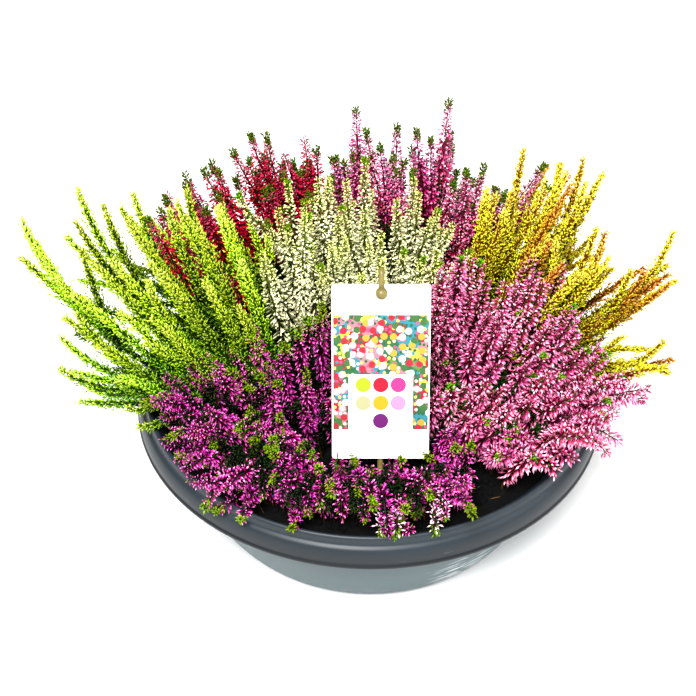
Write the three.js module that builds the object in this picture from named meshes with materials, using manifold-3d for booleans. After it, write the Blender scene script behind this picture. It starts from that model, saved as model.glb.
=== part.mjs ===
// A bowl of seven heathers: a round plastic planting bowl, potting soil, seven plants of
// different colours set as one round cushion, and a card label clipped to a stake.
// Millimetres, +Z up. The origin is the centre of the bowl's flat underside, on the surface it
// stands on; +X is to the right of the label and -Y is the side that the label faces.
import * as THREE from "three";
import { mergeVertices } from "three/addons/utils/BufferGeometryUtils.js";
import Module from "manifold-3d";

const wasm = await Module();
wasm.setup();

// ---------------------------------------------------------------- driving dimensions
const BOWL_RIM_R = 136; // outside of the rim's skirt
const BOWL_H = 88.5;
const BOWL_BASE_R = 90;
const BOWL_NECK_R = 121.5; // outside of the wall where it runs up under the rim
const BOWL_WALL = 2.6;
const BOWL_FLOOR = 3;
const SKIRT_Z = 70; // lower edge of the rim's skirt
const WALL_BULGE = 0.65; // power of the wall's curve: 1 would be a straight cone
const BOWL_SIDES = 32;
const DRAIN_R = 4;
const DRAIN_COUNT = 6;
const DRAIN_RING_R = 56;

const FIT_GAP = 0.5; // soil to bowl
const SOIL_Z = 80; // soil at the wall
const INSIDE_HEIGHTS = [18, 42, 62, SOIL_Z]; // where the bowl's inside and the soil bend alike
const SOIL_CROWN = 4; // how much higher it stands in the middle
const STEM_R = 2;
const STEM_DEPTH = 10; // how deep a stem stands in the soil
const STEM_RISE = 2; // and how far it goes on straight up before it bends
const HOLE_GAP = 0.35;

const CARD_W = 52;
const CARD_H = 96;
const CARD_T = 0.8;
const CARD_CORNER = 1.5;
const CARD_LEAN = THREE.MathUtils.degToRad(25); // back from upright
const CARD_CENTRE = new THREE.Vector3(5, -62, 143);
const STAKE_R = 1.6;
const STAKE_DEPTH = 28;
const STAKE_ABOVE = 8; // how far the hook's top stands above the card
const KNOB_R = 3.3;
const KNOB_DROP = 4; // knob's centre below the card's top edge
const CLIP_GAP = 0.3; // card to stake, each side
const HOOK_STEPS = 5;
const CARD_ROWS = 12; // of the grid that keeps the sprays off the card
const CARD_COLUMNS = 8;

// ---------------------------------------------------------------- the seven plants
// Each leader is the tip of a spray's main shoot. The sprays' roots stand round the plant's crown
// on the soil as their tips stand round the plant's middle, drawn in by spread. flesh is how far
// florets or leaf tips reach from a shoot's axis, sweep how far they lean towards the shoot's tip
// (minus: they hang). curve is how its leaders bend. The purple plant grows in three clumps.
// A curve is a leader's two control points, each as its share of the way across, and up.
const UPRIGHT = [0.24, 0.3, 0.72, 0.64];
const SPREADING = [0.46, 0.2, 0.9, 0.58];
const PLANTS = [
  {
    name: "lime", colour: 0x9fc51c, crown: [-74, 6], spread: 0.6, flesh: 5.8, sweep: 0.5, curve: SPREADING,
    leaders: [
      [-185, -10, 205], [-160, 22, 203], [-134, 44, 185], [-110, 14, 194], [-82, 28, 187],
      [-120, -22, 173], [-166, -36, 122], [-152, 66, 128],
    ],
  },
  {
    name: "red", colour: 0xb3173a, crown: [-46, 70], spread: 0.64, flesh: 5.4, sweep: -0.2, curve: UPRIGHT,
    leaders: [
      [-120, 60, 173], [-92, 72, 190], [-60, 76, 206], [-38, 86, 195], [-64, 118, 166],
      [-84, 124, 122],
    ],
  },
  {
    name: "pink", colour: 0xd0408c, crown: [22, 76], spread: 0.64, flesh: 5.4, sweep: -0.2, curve: UPRIGHT,
    leaders: [
      [-8, 84, 218], [16, 86, 206], [46, 92, 219], [68, 84, 180], [-10, 126, 168],
      [52, 126, 166], [20, 142, 120],
    ],
  },
  {
    name: "white", colour: 0xe8ebc8, crown: [-8, 20], spread: 0.74, flesh: 5.6, sweep: -0.2, curve: UPRIGHT,
    leaders: [[-3, 42, 211], [-29, 38, 199], [25, 42, 196], [-46, 10, 188], [6, 6, 185]],
  },
  {
    name: "gold", colour: 0xd9a514, crown: [82, 32], spread: 0.56, flesh: 5.6, sweep: 0.5, curve: SPREADING,
    leaders: [
      [86, 54, 208], [112, 78, 182], [118, 42, 209], [130, 14, 180], [167, 12, 181],
      [161, -28, 136], [136, 84, 126],
    ],
  },
  {
    name: "blush", colour: 0xdd86a8, crown: [66, -42], spread: 0.6, flesh: 6.6, sweep: -0.3, curve: UPRIGHT,
    leaders: [
      [50, 2, 172], [92, 2, 161], [72, -22, 152], [114, -14, 145], [146, -38, 121],
      [104, -50, 131], [62, -58, 132], [128, -76, 97], [86, -84, 112],
    ],
  },
  {
    name: "purple", colour: 0xa02a93, crown: [-54, -44], spread: 0.64, flesh: 6, sweep: -0.25, curve: UPRIGHT,
    leaders: [
      [-68, -16, 145], [-28, -22, 150], [-94, -30, 131], [-118, -58, 120], [-62, -48, 131],
      [-36, -56, 127], [-96, -78, 114], [-64, -80, 118],
    ],
  },
  {
    name: "purple_front", colour: 0xa02a93, crown: [-14, -92], spread: 0.62, flesh: 6, sweep: -0.25,
    curve: UPRIGHT,
    leaders: [[-88, -114, 92], [-46, -102, 102], [-6, -117, 96], [8, -132, 93], [38, -122, 97]],
  },
  {
    name: "purple_right", colour: 0xa02a93, crown: [42, -82], spread: 0, flesh: 6, sweep: -0.25, curve: UPRIGHT,
    leaders: [[46, -92, 115]],
  },
];
const ARCH_BELOW = 60; // a leader whose tip is less than this above the soil rises in an arch
const ARCH = 0.55; // by this share of what it lacks
const BARE_UP_TO = 15; // along a leader from its foot
const FULL_FROM = 38; // its florets or leaves have their full length from here up
const TAPER_FROM = 0.66; // share of a shoot's length
const TIP_TAPER = 0.7; // share of the florets' length that is lost by the tip
const RING_STEP = 9.8; // between rings of florets
const SHOOT_SIDES = 3; // florets in a ring

// Low down a spray is a bush of leafy twigs that the flowering shoots stand out of.
const BUSH_FROM = 14; // along the leader from its foot
const BUSH_TO = 0.56; // share of the leader's length
const BUSH_R = 17; // at most
const BUSH_RINGS = 5;
const BUSH_SIDES = 5;
const BUSH_GAP = 0.5; // to the middle between two leaders
const BUSH_ARC = [0.2, 0.76]; // start and length of the half turn's sine that its outline follows

// Side shoots leave their leader in the bush and run up beside it.
const SIDE_LEAVES_AT = [0.32, 0.4]; // share of the leader's length
const SIDE_TIP_AT = [0.84, 0.72];
const SIDE_REACH = [17, 16];
const SIDE_POINTS = [0.3, 0.7]; // its control points, as shares of the line to its tip
const SIDE_SWING = [0.3, 0.18]; // share of the reach that they stand out from that line
const SIDE_DIRECTIONS = 12; // directions compared for the most room
const ROOM = 0.9; // least space between two sprays, skin to skin
const SAMPLE_STEP = 5; // between the points that space is measured from
const SEED = 20417;

// ---------------------------------------------------------------- helpers
// The same small generator of draws from 0 to 1 for every rule.
function randomFrom(seed) {
  let state = seed >>> 0;
  return () => {
    state = (state + 0x6d2b79f5) >>> 0;
    let mixed = Math.imul(state ^ (state >>> 15), 1 | state);
    mixed = (mixed + Math.imul(mixed ^ (mixed >>> 7), 61 | mixed)) ^ mixed;
    return ((mixed ^ (mixed >>> 14)) >>> 0) / 4294967296;
  };
}

function solidOf(geometry) {
  const bare = new THREE.BufferGeometry().setAttribute("position", geometry.getAttribute("position"));
  if (geometry.index) bare.setIndex(geometry.index);
  const merged = mergeVertices(bare, 1e-4);
  return new wasm.Manifold(
    new wasm.Mesh({
      numProp: 3,
      vertProperties: merged.attributes.position.array,
      triVerts: new Uint32Array(merged.index.array),
    }),
  );
}

function geometryOf(solid) {
  const mesh = solid.getMesh();
  const positions = new Float32Array(mesh.numVert * 3);
  for (let i = 0; i < mesh.numVert; i++) {
    positions.set(mesh.vertProperties.subarray(i * mesh.numProp, i * mesh.numProp + 3), i * 3);
  }
  const geometry = new THREE.BufferGeometry();
  geometry.setAttribute("position", new THREE.BufferAttribute(positions, 3));
  geometry.setIndex(new THREE.BufferAttribute(new Uint32Array(mesh.triVerts), 1));
  geometry.computeVertexNormals();
  return geometry;
}

function meshOf(name, geometry, colour, roughness) {
  const material = new THREE.MeshStandardMaterial({ color: colour, roughness, metalness: 0 });
  const mesh = new THREE.Mesh(geometry, material);
  mesh.name = name;
  return mesh;
}

const smooth = (low, high, x) => THREE.MathUtils.smoothstep(x, low, high);
const soilHeight = (x, y) => SOIL_Z + SOIL_CROWN * (1 - (x * x + y * y) / BOWL_NECK_R ** 2);

// ---------------------------------------------------------------- bowl
// Radius of the wall's outside at height z.
function wallRadius(z) {
  return BOWL_BASE_R + (BOWL_NECK_R - BOWL_BASE_R) * (z / SKIRT_Z) ** WALL_BULGE;
}

function turned(points) {
  const profile = points.map(([r, z]) => new THREE.Vector2(r, z));
  return new THREE.LatheGeometry(profile, BOWL_SIDES).rotateX(Math.PI / 2);
}

function buildBowl() {
  const wallHeights = [5, 18, 42, SKIRT_Z + 6];
  const rimOutside = [
    [BOWL_RIM_R - 2, SKIRT_Z],
    [BOWL_RIM_R, SKIRT_Z],
    [BOWL_RIM_R, SKIRT_Z + 3],
    [BOWL_RIM_R - 4, BOWL_H - 5],
    [BOWL_RIM_R - 5, BOWL_H - 4.6],
    [BOWL_RIM_R - 5.4, BOWL_H - 1.4],
    [BOWL_RIM_R - 6.5, BOWL_H],
    [BOWL_RIM_R - 8, BOWL_H - 0.8],
  ];
  const inside = INSIDE_HEIGHTS.map((z) => [wallRadius(z) - BOWL_WALL, z]).reverse();
  const shell = solidOf(
    turned([
      [0, 0],
      [BOWL_BASE_R - 3, 0],
      ...wallHeights.map((z) => [wallRadius(z), z]),
      ...rimOutside,
      ...inside,
      [BOWL_BASE_R - BOWL_WALL, BOWL_FLOOR],
      [0, BOWL_FLOOR],
    ]),
  );
  return Array.from({ length: DRAIN_COUNT }, (_, i) => (2 * Math.PI * i) / DRAIN_COUNT).reduce(
    (bowl, angle) => {
      const drain = new THREE.CylinderGeometry(DRAIN_R, DRAIN_R, 4 * BOWL_FLOOR, 6)
        .rotateX(Math.PI / 2)
        .translate(DRAIN_RING_R * Math.cos(angle), DRAIN_RING_R * Math.sin(angle), 0);
      return bowl.subtract(solidOf(drain));
    },
    shell,
  );
}

// ---------------------------------------------------------------- shoots
// A leader's centre line: straight up out of the soil, then out and up in one curve.
class LeaderPath extends THREE.Curve {
  constructor(foot, start, lean, rise, tip) {
    super();
    this.foot = foot;
    const straight = foot.distanceTo(start);
    this.footShare = straight / (straight + start.distanceTo(tip));
    this.arc = new THREE.CubicBezierCurve3(start, lean, rise, tip);
  }

  getPoint(t, target = new THREE.Vector3()) {
    if (t < this.footShare) return target.lerpVectors(this.foot, this.arc.v0, t / this.footShare);
    return this.arc.getPoint((t - this.footShare) / (1 - this.footShare), target);
  }
}

function between(start, tip, across, up) {
  return new THREE.Vector3(
    start.x + (tip.x - start.x) * across,
    start.y + (tip.y - start.y) * across,
    start.z + (tip.z - start.z) * up,
  );
}

function leaderPath(root, tip, curve) {
  const soil = soilHeight(...root);
  const foot = new THREE.Vector3(...root, soil - STEM_DEPTH);
  const start = new THREE.Vector3(...root, soil + STEM_RISE);
  const arch = ARCH * Math.max(0, soil + ARCH_BELOW - tip.z);
  const lean = between(start, tip, ...curve.slice(0, 2));
  const rise = between(start, tip, ...curve.slice(2));
  lean.z += arch;
  rise.z += arch;
  return new LeaderPath(foot, start, lean, rise, tip);
}

// A side shoot leaves its leader at one share of the leader's length, swings out sideways and
// ends beside a higher point of it.
function sidePath(leader, order, direction, reach) {
  const start = leader.getPoint(SIDE_LEAVES_AT[order]);
  const beside = leader.getPoint(SIDE_TIP_AT[order]);
  const along = leader.getTangent(SIDE_TIP_AT[order]);
  const outward = new THREE.Vector3(Math.cos(direction), Math.sin(direction), 0);
  outward.addScaledVector(along, -outward.dot(along)).normalize();
  const tip = beside.clone().addScaledVector(outward, reach);
  const first = start.clone().lerp(tip, SIDE_POINTS[0]).addScaledVector(outward, reach * SIDE_SWING[0]);
  const second = start.clone().lerp(tip, SIDE_POINTS[1]).addScaledVector(outward, reach * SIDE_SWING[1]);
  return new THREE.CubicBezierCurve3(start, first, second, tip);
}

// How far the florets reach from the axis, at a share of the shoot's length.
function fleshAt(plant, path, share, isLeader) {
  const along = share * path.getLength();
  const grown = smooth(BARE_UP_TO, FULL_FROM, isLeader ? along : along + BARE_UP_TO);
  const taper = 1 - TIP_TAPER * smooth(TAPER_FROM, 1, share);
  return STEM_R + (plant.flesh - STEM_R) * grown * taper;
}

function samplesOf(plant, path, isLeader) {
  const count = Math.ceil(path.getLength() / SAMPLE_STEP);
  return Array.from({ length: count + 1 }, (_, i) => ({
    share: i / count,
    at: path.getPointAt(i / count),
    r: fleshAt(plant, path, i / count, isLeader),
  }));
}

function roomBetween(samples, others) {
  let least = Infinity;
  for (const a of samples) {
    for (const b of others) least = Math.min(least, a.at.distanceTo(b.at) - a.r - b.r);
  }
  return least;
}

// How far a shoot's skin stays off the soil and the bowl's rim.
function roomAboveBowl({ at, r }) {
  const out = Math.hypot(at.x, at.y);
  const inner = BOWL_NECK_R - BOWL_WALL;
  const toRim = Math.hypot(Math.max(0, inner - out, out - BOWL_RIM_R), Math.max(0, at.z - BOWL_H));
  return Math.min(toRim, out < inner ? at.z - soilHeight(at.x, at.y) : Infinity) - r;
}

// The bush's radius at a share of the leader's length: as wide as the room up to the middle
// between this leader and the next.
function bushAt(leader, others, share) {
  const from = BUSH_FROM / leader.path.getLength();
  if (share < from || share > BUSH_TO) return 0;
  const at = leader.path.getPointAt(share);
  let room = BUSH_R;
  for (const other of others) {
    for (const sample of other.samples) room = Math.min(room, at.distanceTo(sample.at) / 2 - BUSH_GAP);
  }
  const t = (share - from) / (BUSH_TO - from);
  // Full from the soil up, and drawn in to the shoots at the top.
  const fullness = Math.sqrt(Math.sin(Math.PI * (BUSH_ARC[0] + BUSH_ARC[1] * t)));
  return Math.min(room, roomAboveBowl({ at, r: 0 }) - BUSH_GAP) * fullness;
}

function rootOf(plant, leader) {
  return [0, 1].map((axis) => {
    const middle = plant.leaders.reduce((sum, tip) => sum + tip[axis], 0) / plant.leaders.length;
    return plant.crown[axis] + plant.spread * (leader[axis] - middle);
  });
}

// Every spray's shoots. Leaders come first, and then each side shoot takes, of the directions
// compared, the one with the most room to the other sprays, and is left out if that is too little.
function layOutSprays() {
  const sprays = [];
  for (const plant of PLANTS) {
    plant.leaders.forEach((leader, i) => {
      const root = rootOf(plant, leader);
      const path = leaderPath(root, new THREE.Vector3(...leader), plant.curve);
      const shoots = [{ path, isLeader: true, samples: samplesOf(plant, path, true) }];
      sprays.push({ name: `${plant.name}_heather_spray_${i + 1}`, plant, root, shoots });
    });
  }
  const label = { samples: labelSamples() };
  for (const spray of sprays) {
    const others = sprays.filter((other) => other !== spray).map((other) => other.shoots[0]);
    others.push(label);
    spray.bush = (share) => bushAt(spray.shoots[0], others, share);
  }
  for (const { shoots, bush } of sprays) {
    for (const sample of shoots[0].samples) sample.r = Math.max(sample.r, bush(sample.share));
  }
  const draw = randomFrom(SEED);
  for (let order = 0; order < SIDE_REACH.length; order++) {
    for (const spray of sprays) {
      const turn = 2 * Math.PI * draw();
      const others = sprays.filter((other) => other !== spray).flatMap((other) => other.shoots);
      const own = spray.shoots.slice(1);
      let best = { room: -Infinity };
      for (let i = 0; i < SIDE_DIRECTIONS; i++) {
        const direction = turn + (2 * Math.PI * i) / SIDE_DIRECTIONS;
        const path = sidePath(spray.shoots[0].path, order, direction, SIDE_REACH[order]);
        const samples = samplesOf(spray.plant, path, false);
        const rooms = [...others, label].map((shoot) => roomBetween(samples, shoot.samples));
        // It also keeps its tip off its own spray's other side shoots.
        rooms.push(...own.map((shoot) => roomBetween(samples.slice(-3), shoot.samples.slice(-3)) / 2));
        rooms.push(...samples.map(roomAboveBowl));
        const room = Math.min(...rooms);
        if (room > best.room) best = { room, shoot: { path, isLeader: false, samples } };
      }
      if (best.room > ROOM) spray.shoots.push(best.shoot);
    }
  }
  return sprays;
}

// A closed tube round given rings, each turned by half a side against the one before it. So
// every corner stands out between two of the next ring's, as a floret or a leaf tip, and the
// surface runs in low between them. Each end comes to a point, or is flat if it has none.
function reliefTube(rings, sides, startPoint, endPoint) {
  const positions = [];
  rings.forEach(({ centre, normal, binormal, tangent, out, lean }, ring) => {
    for (let side = 0; side < sides; side++) {
      const angle = (2 * Math.PI * (side + ring / 2)) / sides;
      const point = centre
        .clone()
        .addScaledVector(normal, out * Math.cos(angle))
        .addScaledVector(binormal, out * Math.sin(angle))
        .addScaledVector(tangent, lean);
      positions.push(...point.toArray());
    }
  });
  const faces = [];
  for (let ring = 0; ring < rings.length - 1; ring++) {
    for (let side = 0; side < sides; side++) {
      const a = ring * sides + side;
      const b = ring * sides + ((side + 1) % sides);
      faces.push(a, b, a + sides, b, b + sides, a + sides);
    }
  }
  const end = (rings.length - 1) * sides;
  if (startPoint) {
    for (let side = 0; side < sides; side++) faces.push((side + 1) % sides, side, positions.length / 3);
    positions.push(...startPoint.toArray());
  } else {
    for (let side = 1; side < sides - 1; side++) faces.push(0, side + 1, side);
  }
  for (let side = 0; side < sides; side++) {
    faces.push(end + side, end + ((side + 1) % sides), positions.length / 3);
  }
  positions.push(...endPoint.toArray());
  const geometry = new THREE.BufferGeometry();
  geometry.setAttribute("position", new THREE.Float32BufferAttribute(positions, 3));
  geometry.setIndex(faces);
  return solidOf(geometry);
}

function frameAt(path, share, before) {
  const tangent = path.getTangentAt(share);
  const normal = before.clone().addScaledVector(tangent, -before.dot(tangent)).normalize();
  return { centre: path.getPointAt(share), tangent, normal, binormal: tangent.clone().cross(normal) };
}

function shootSolid(plant, path, isLeader) {
  const steps = Math.max(5, Math.round(path.getLength() / RING_STEP));
  const step = path.getLength() / steps;
  const rings = [];
  let normal = new THREE.Vector3(0, 1, 0);
  for (let ring = 0; ring < steps; ring++) {
    const frame = frameAt(path, ring / steps, normal);
    normal = frame.normal;
    const out = fleshAt(plant, path, ring / steps, isLeader);
    rings.push({ ...frame, out, lean: out > STEM_R ? step * plant.sweep : 0 });
  }
  return reliefTube(rings, SHOOT_SIDES, null, path.getPointAt(1));
}

function bushSolid({ bush, shoots: [{ path }] }) {
  const length = path.getLength();
  const from = BUSH_FROM / length;
  const shareOf = (t) => from + (BUSH_TO - from) * t;
  const rings = [];
  let normal = new THREE.Vector3(0, 1, 0);
  for (let ring = 0; ring < BUSH_RINGS; ring++) {
    const share = shareOf((ring + 0.5) / BUSH_RINGS);
    const frame = frameAt(path, share, normal);
    normal = frame.normal;
    rings.push({ ...frame, out: bush(share), lean: 0 });
  }
  return reliefTube(rings, BUSH_SIDES, path.getPointAt(from), path.getPointAt(shareOf(1)));
}

function spraySolid(spray) {
  const shoots = spray.shoots.map((shoot) => shootSolid(spray.plant, shoot.path, shoot.isLeader));
  return shoots.reduce((whole, shoot) => whole.add(shoot), bushSolid(spray));
}

// ---------------------------------------------------------------- soil
function buildSoil(sprays, stakeFoot, stakeAxis) {
  const profile = [
    [0, BOWL_FLOOR + FIT_GAP],
    [BOWL_BASE_R - BOWL_WALL - FIT_GAP, BOWL_FLOOR + FIT_GAP],
    ...INSIDE_HEIGHTS.map((z) => [wallRadius(z) - BOWL_WALL - FIT_GAP, z]),
    [BOWL_NECK_R / 2, soilHeight(BOWL_NECK_R / 2, 0)],
    [0, soilHeight(0, 0)],
  ];
  const holeR = (STEM_R + HOLE_GAP) / Math.cos(Math.PI / 4);
  const holes = sprays.map(({ root }) => {
    const height = 2 * STEM_DEPTH;
    return new THREE.CylinderGeometry(holeR, holeR, height, 4)
      .rotateX(Math.PI / 2)
      .translate(...root, soilHeight(...root) - STEM_DEPTH - HOLE_GAP + height / 2);
  });
  const stakeHoleLength = 2 * STAKE_DEPTH;
  const turn = new THREE.Quaternion().setFromUnitVectors(new THREE.Vector3(0, 1, 0), stakeAxis);
  const stakeHole = new THREE.CylinderGeometry(STAKE_R + HOLE_GAP, STAKE_R + HOLE_GAP, stakeHoleLength, 8)
    .translate(0, stakeHoleLength / 2 - HOLE_GAP, 0)
    .applyQuaternion(turn)
    .translate(...stakeFoot.toArray());
  return [...holes, stakeHole].reduce((soil, hole) => soil.subtract(solidOf(hole)), solidOf(turned(profile)));
}

// ---------------------------------------------------------------- label
const cardUp = new THREE.Vector3(0, Math.sin(CARD_LEAN), Math.cos(CARD_LEAN));
const cardBack = new THREE.Vector3(0, Math.cos(CARD_LEAN), -Math.sin(CARD_LEAN));
const HOOK_R = CARD_T / 2 + CLIP_GAP + STAKE_R; // half the space between the hook's two legs

function labelPoint(up, back) {
  return CARD_CENTRE.clone().addScaledVector(cardUp, up).addScaledVector(cardBack, back);
}

// The stake comes up behind the card, turns over its top edge and ends in a knob before it.
function buildStake() {
  const bendUp = CARD_H / 2 + STAKE_ABOVE - HOOK_R;
  const behind = labelPoint(0, HOOK_R);
  const soilMeets = (soilHeight(0, behind.y) - behind.z) / cardUp.z;
  const foot = behind.clone().addScaledVector(cardUp, soilMeets - STAKE_DEPTH);
  const stops = [foot];
  for (let i = 0; i <= HOOK_STEPS; i++) {
    const angle = (Math.PI * i) / HOOK_STEPS;
    stops.push(labelPoint(bendUp + HOOK_R * Math.sin(angle), HOOK_R * Math.cos(angle)));
  }
  const knobUp = CARD_H / 2 - KNOB_DROP;
  stops.push(labelPoint(knobUp, -HOOK_R));
  const knob = new THREE.SphereGeometry(KNOB_R, 10, 6).translate(
    ...labelPoint(knobUp, -CARD_T / 2 - CLIP_GAP - KNOB_R).toArray(),
  );
  return { solid: solidOf(tubeAlong(stops, STAKE_R, 6)).add(solidOf(knob)), foot };
}

// A closed tube through given points, mitred at each, all in one plane across X.
function tubeAlong(points, radius, sides) {
  const across = new THREE.Vector3(1, 0, 0);
  const positions = [];
  const directions = points.slice(1).map((point, i) => point.clone().sub(points[i]).normalize());
  points.forEach((point, i) => {
    const before = directions[Math.max(0, i - 1)];
    const after = directions[Math.min(i, directions.length - 1)];
    const tangent = before.clone().add(after).normalize();
    const normal = new THREE.Vector3().crossVectors(across, tangent);
    const mitre = radius / Math.sqrt((1 + before.dot(after)) / 2);
    for (let side = 0; side < sides; side++) {
      const angle = (2 * Math.PI * side) / sides;
      positions.push(
        ...point
          .clone()
          .addScaledVector(across, radius * Math.cos(angle))
          .addScaledVector(normal, mitre * Math.sin(angle))
          .toArray(),
      );
    }
  });
  const faces = [];
  for (let side = 1; side < sides - 1; side++) faces.push(0, side, side + 1);
  for (let ring = 0; ring < points.length - 1; ring++) {
    for (let side = 0; side < sides; side++) {
      const a = ring * sides + side;
      const b = ring * sides + ((side + 1) % sides);
      faces.push(a, a + sides, b, b, a + sides, b + sides);
    }
  }
  const last = (points.length - 1) * sides;
  for (let side = 1; side < sides - 1; side++) faces.push(last, last + side + 1, last + side);
  const geometry = new THREE.BufferGeometry();
  geometry.setAttribute("position", new THREE.Float32BufferAttribute(positions, 3));
  geometry.setIndex(faces);
  return geometry;
}

function buildCard() {
  const [w, h, c] = [CARD_W / 2, CARD_H / 2, CARD_CORNER];
  const outline = new THREE.Shape()
    .moveTo(-w + c, -h)
    .lineTo(w - c, -h)
    .lineTo(w, -h + c)
    .lineTo(w, h - c)
    .lineTo(w - c, h)
    .lineTo(-w + c, h)
    .lineTo(-w, h - c)
    .lineTo(-w, -h + c)
    .closePath();
  return new THREE.ExtrudeGeometry(outline, { depth: CARD_T, bevelEnabled: false })
    .translate(0, 0, -CARD_T / 2)
    .rotateX(Math.PI / 2 - CARD_LEAN)
    .translate(...CARD_CENTRE.toArray());
}

// Points that the sprays keep clear of: a grid over the card, and a row down the stake.
function labelSamples() {
  const samples = [];
  for (let row = 0; row <= CARD_ROWS + 1; row++) {
    const up = CARD_H * (row / CARD_ROWS - 0.5);
    for (let column = 0; column <= CARD_COLUMNS; column++) {
      const at = labelPoint(up, 0);
      at.x += CARD_W * (column / CARD_COLUMNS - 0.5);
      samples.push({ at, r: STAKE_R });
    }
  }
  for (let up = -CARD_H / 2 - STAKE_DEPTH; up < -CARD_H / 2; up += SAMPLE_STEP) {
    samples.push({ at: labelPoint(up, HOOK_R), r: STAKE_R });
  }
  return samples;
}

// ---------------------------------------------------------------- assembly
const sprays = layOutSprays();
const stake = buildStake();
const planter = new THREE.Group();
planter.add(meshOf("bowl", geometryOf(buildBowl()), 0x5c666c, 0.45));
planter.add(meshOf("potting_soil", geometryOf(buildSoil(sprays, stake.foot, cardUp)), 0x1e1611, 0.95));
planter.add(meshOf("label_stake", geometryOf(stake.solid), 0xb59b57, 0.5));
planter.add(meshOf("label_card", buildCard(), 0xf7f7f4, 0.4));
for (const spray of sprays) {
  planter.add(meshOf(spray.name, geometryOf(spraySolid(spray)), spray.plant.colour, 0.75));
}

export default planter;
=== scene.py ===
import math

import bpy
import numpy as np
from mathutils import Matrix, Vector, noise


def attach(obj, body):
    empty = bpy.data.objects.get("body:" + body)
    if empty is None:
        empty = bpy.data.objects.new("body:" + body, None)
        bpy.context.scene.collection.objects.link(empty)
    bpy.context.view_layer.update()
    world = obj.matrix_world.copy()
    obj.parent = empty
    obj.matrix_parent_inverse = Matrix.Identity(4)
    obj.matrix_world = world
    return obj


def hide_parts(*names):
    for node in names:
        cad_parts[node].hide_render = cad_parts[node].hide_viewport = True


# A bowl of seven heathers. Lengths are in millimetres up to the making of a mesh, which is in
# metres. The paths of the shoots follow the same rule as the part's source.
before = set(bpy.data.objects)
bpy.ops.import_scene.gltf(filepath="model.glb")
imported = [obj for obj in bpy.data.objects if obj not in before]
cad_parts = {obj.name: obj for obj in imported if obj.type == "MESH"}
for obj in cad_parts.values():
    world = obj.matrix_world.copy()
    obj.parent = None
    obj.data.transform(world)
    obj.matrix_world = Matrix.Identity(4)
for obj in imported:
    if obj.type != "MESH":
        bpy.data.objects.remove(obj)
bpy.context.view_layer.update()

# ---------- camera
CAMERA_ELEVATION = math.radians(40)
camera = bpy.data.objects.new("camera", bpy.data.cameras.new("camera"))
camera.location = (-0.0124, -0.66263, 0.66401)
camera.rotation_euler = (math.pi / 2 - CAMERA_ELEVATION, 0, 0)
camera.data.lens = 77.586
camera.data.sensor_width = 36
camera.data.clip_start, camera.data.clip_end = 0.01, 20
bpy.context.scene.collection.objects.link(camera)
bpy.context.scene.camera = camera

# ---------- dimensions
RIM_R, BOWL_H, BASE_R, NECK_R = 136, 88.5, 90, 121.5
WALL, FLOOR, SKIRT_Z, BULGE = 2.6, 3, 70, 0.65
DRAIN_R, DRAIN_COUNT, DRAIN_RING_R = 4, 6, 56
SOIL_Z, SOIL_CROWN, SOIL_GAP = 80, 4, 0.5
STEM_R, STEM_DEPTH, STEM_RISE = 2, 10, 2
CARD_W, CARD_H, CARD_T, CARD_CORNER, CARD_EDGE = 52, 96, 0.8, 1.5, 0.12
CARD_LEAN = math.radians(25)
CARD_CENTRE = np.array([5.0, -62, 143])
CARD_UP = np.array([0, math.sin(CARD_LEAN), math.cos(CARD_LEAN)])
CARD_BACK = np.array([0, math.cos(CARD_LEAN), -math.sin(CARD_LEAN)])
STAKE_R, STAKE_DEPTH, STAKE_ABOVE = 1.6, 28, 8
KNOB_R, KNOB_DROP, CLIP_GAP = 3.3, 4, 0.3
HOOK_R = CARD_T / 2 + CLIP_GAP + STAKE_R
READER = np.array([-12.4, -662.6, 664.0])  # where the label is read from

# How shoots grow: an arch in low ones, the bare foot and thickness of the flesh, the bush round a
# leader, and its side shoots.
ARCH_BELOW, ARCH = 60, 0.55
BARE_UP_TO, FULL_FROM, TAPER_FROM, TIP_TAPER = 15, 38, 0.66, 0.7
BUSH_FROM, BUSH_TO, BUSH_R, BUSH_GAP = 14, 0.56, 17, 0.5
BUSH_START, BUSH_SPAN = 0.2, 0.76  # the part of a half wave that the bush's outline follows
SIDE_LEAVES_AT, SIDE_TIP_AT = (0.32, 0.4), (0.84, 0.72)
SIDE_REACH, SIDE_SWING, SIDE_DIRECTIONS = (17, 16), (0.3, 0.18), 12
ROOM, SAMPLE_STEP, SEED = 0.9, 5, 20417
CARD_ROWS, CARD_COLUMNS = 12, 8  # the spaces between the label's samples
GOLDEN = math.pi * (3 - math.sqrt(5))
UP = np.array([0.0, 0, 1])

# A curve is a leader's two control points, each as its share of the way across, and up.
UPRIGHT = (0.24, 0.3, 0.72, 0.64)
SPREADING = (0.46, 0.2, 0.9, 0.58)
LEANING = (0.3, 0.3, 0.68, 0.72)

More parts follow.
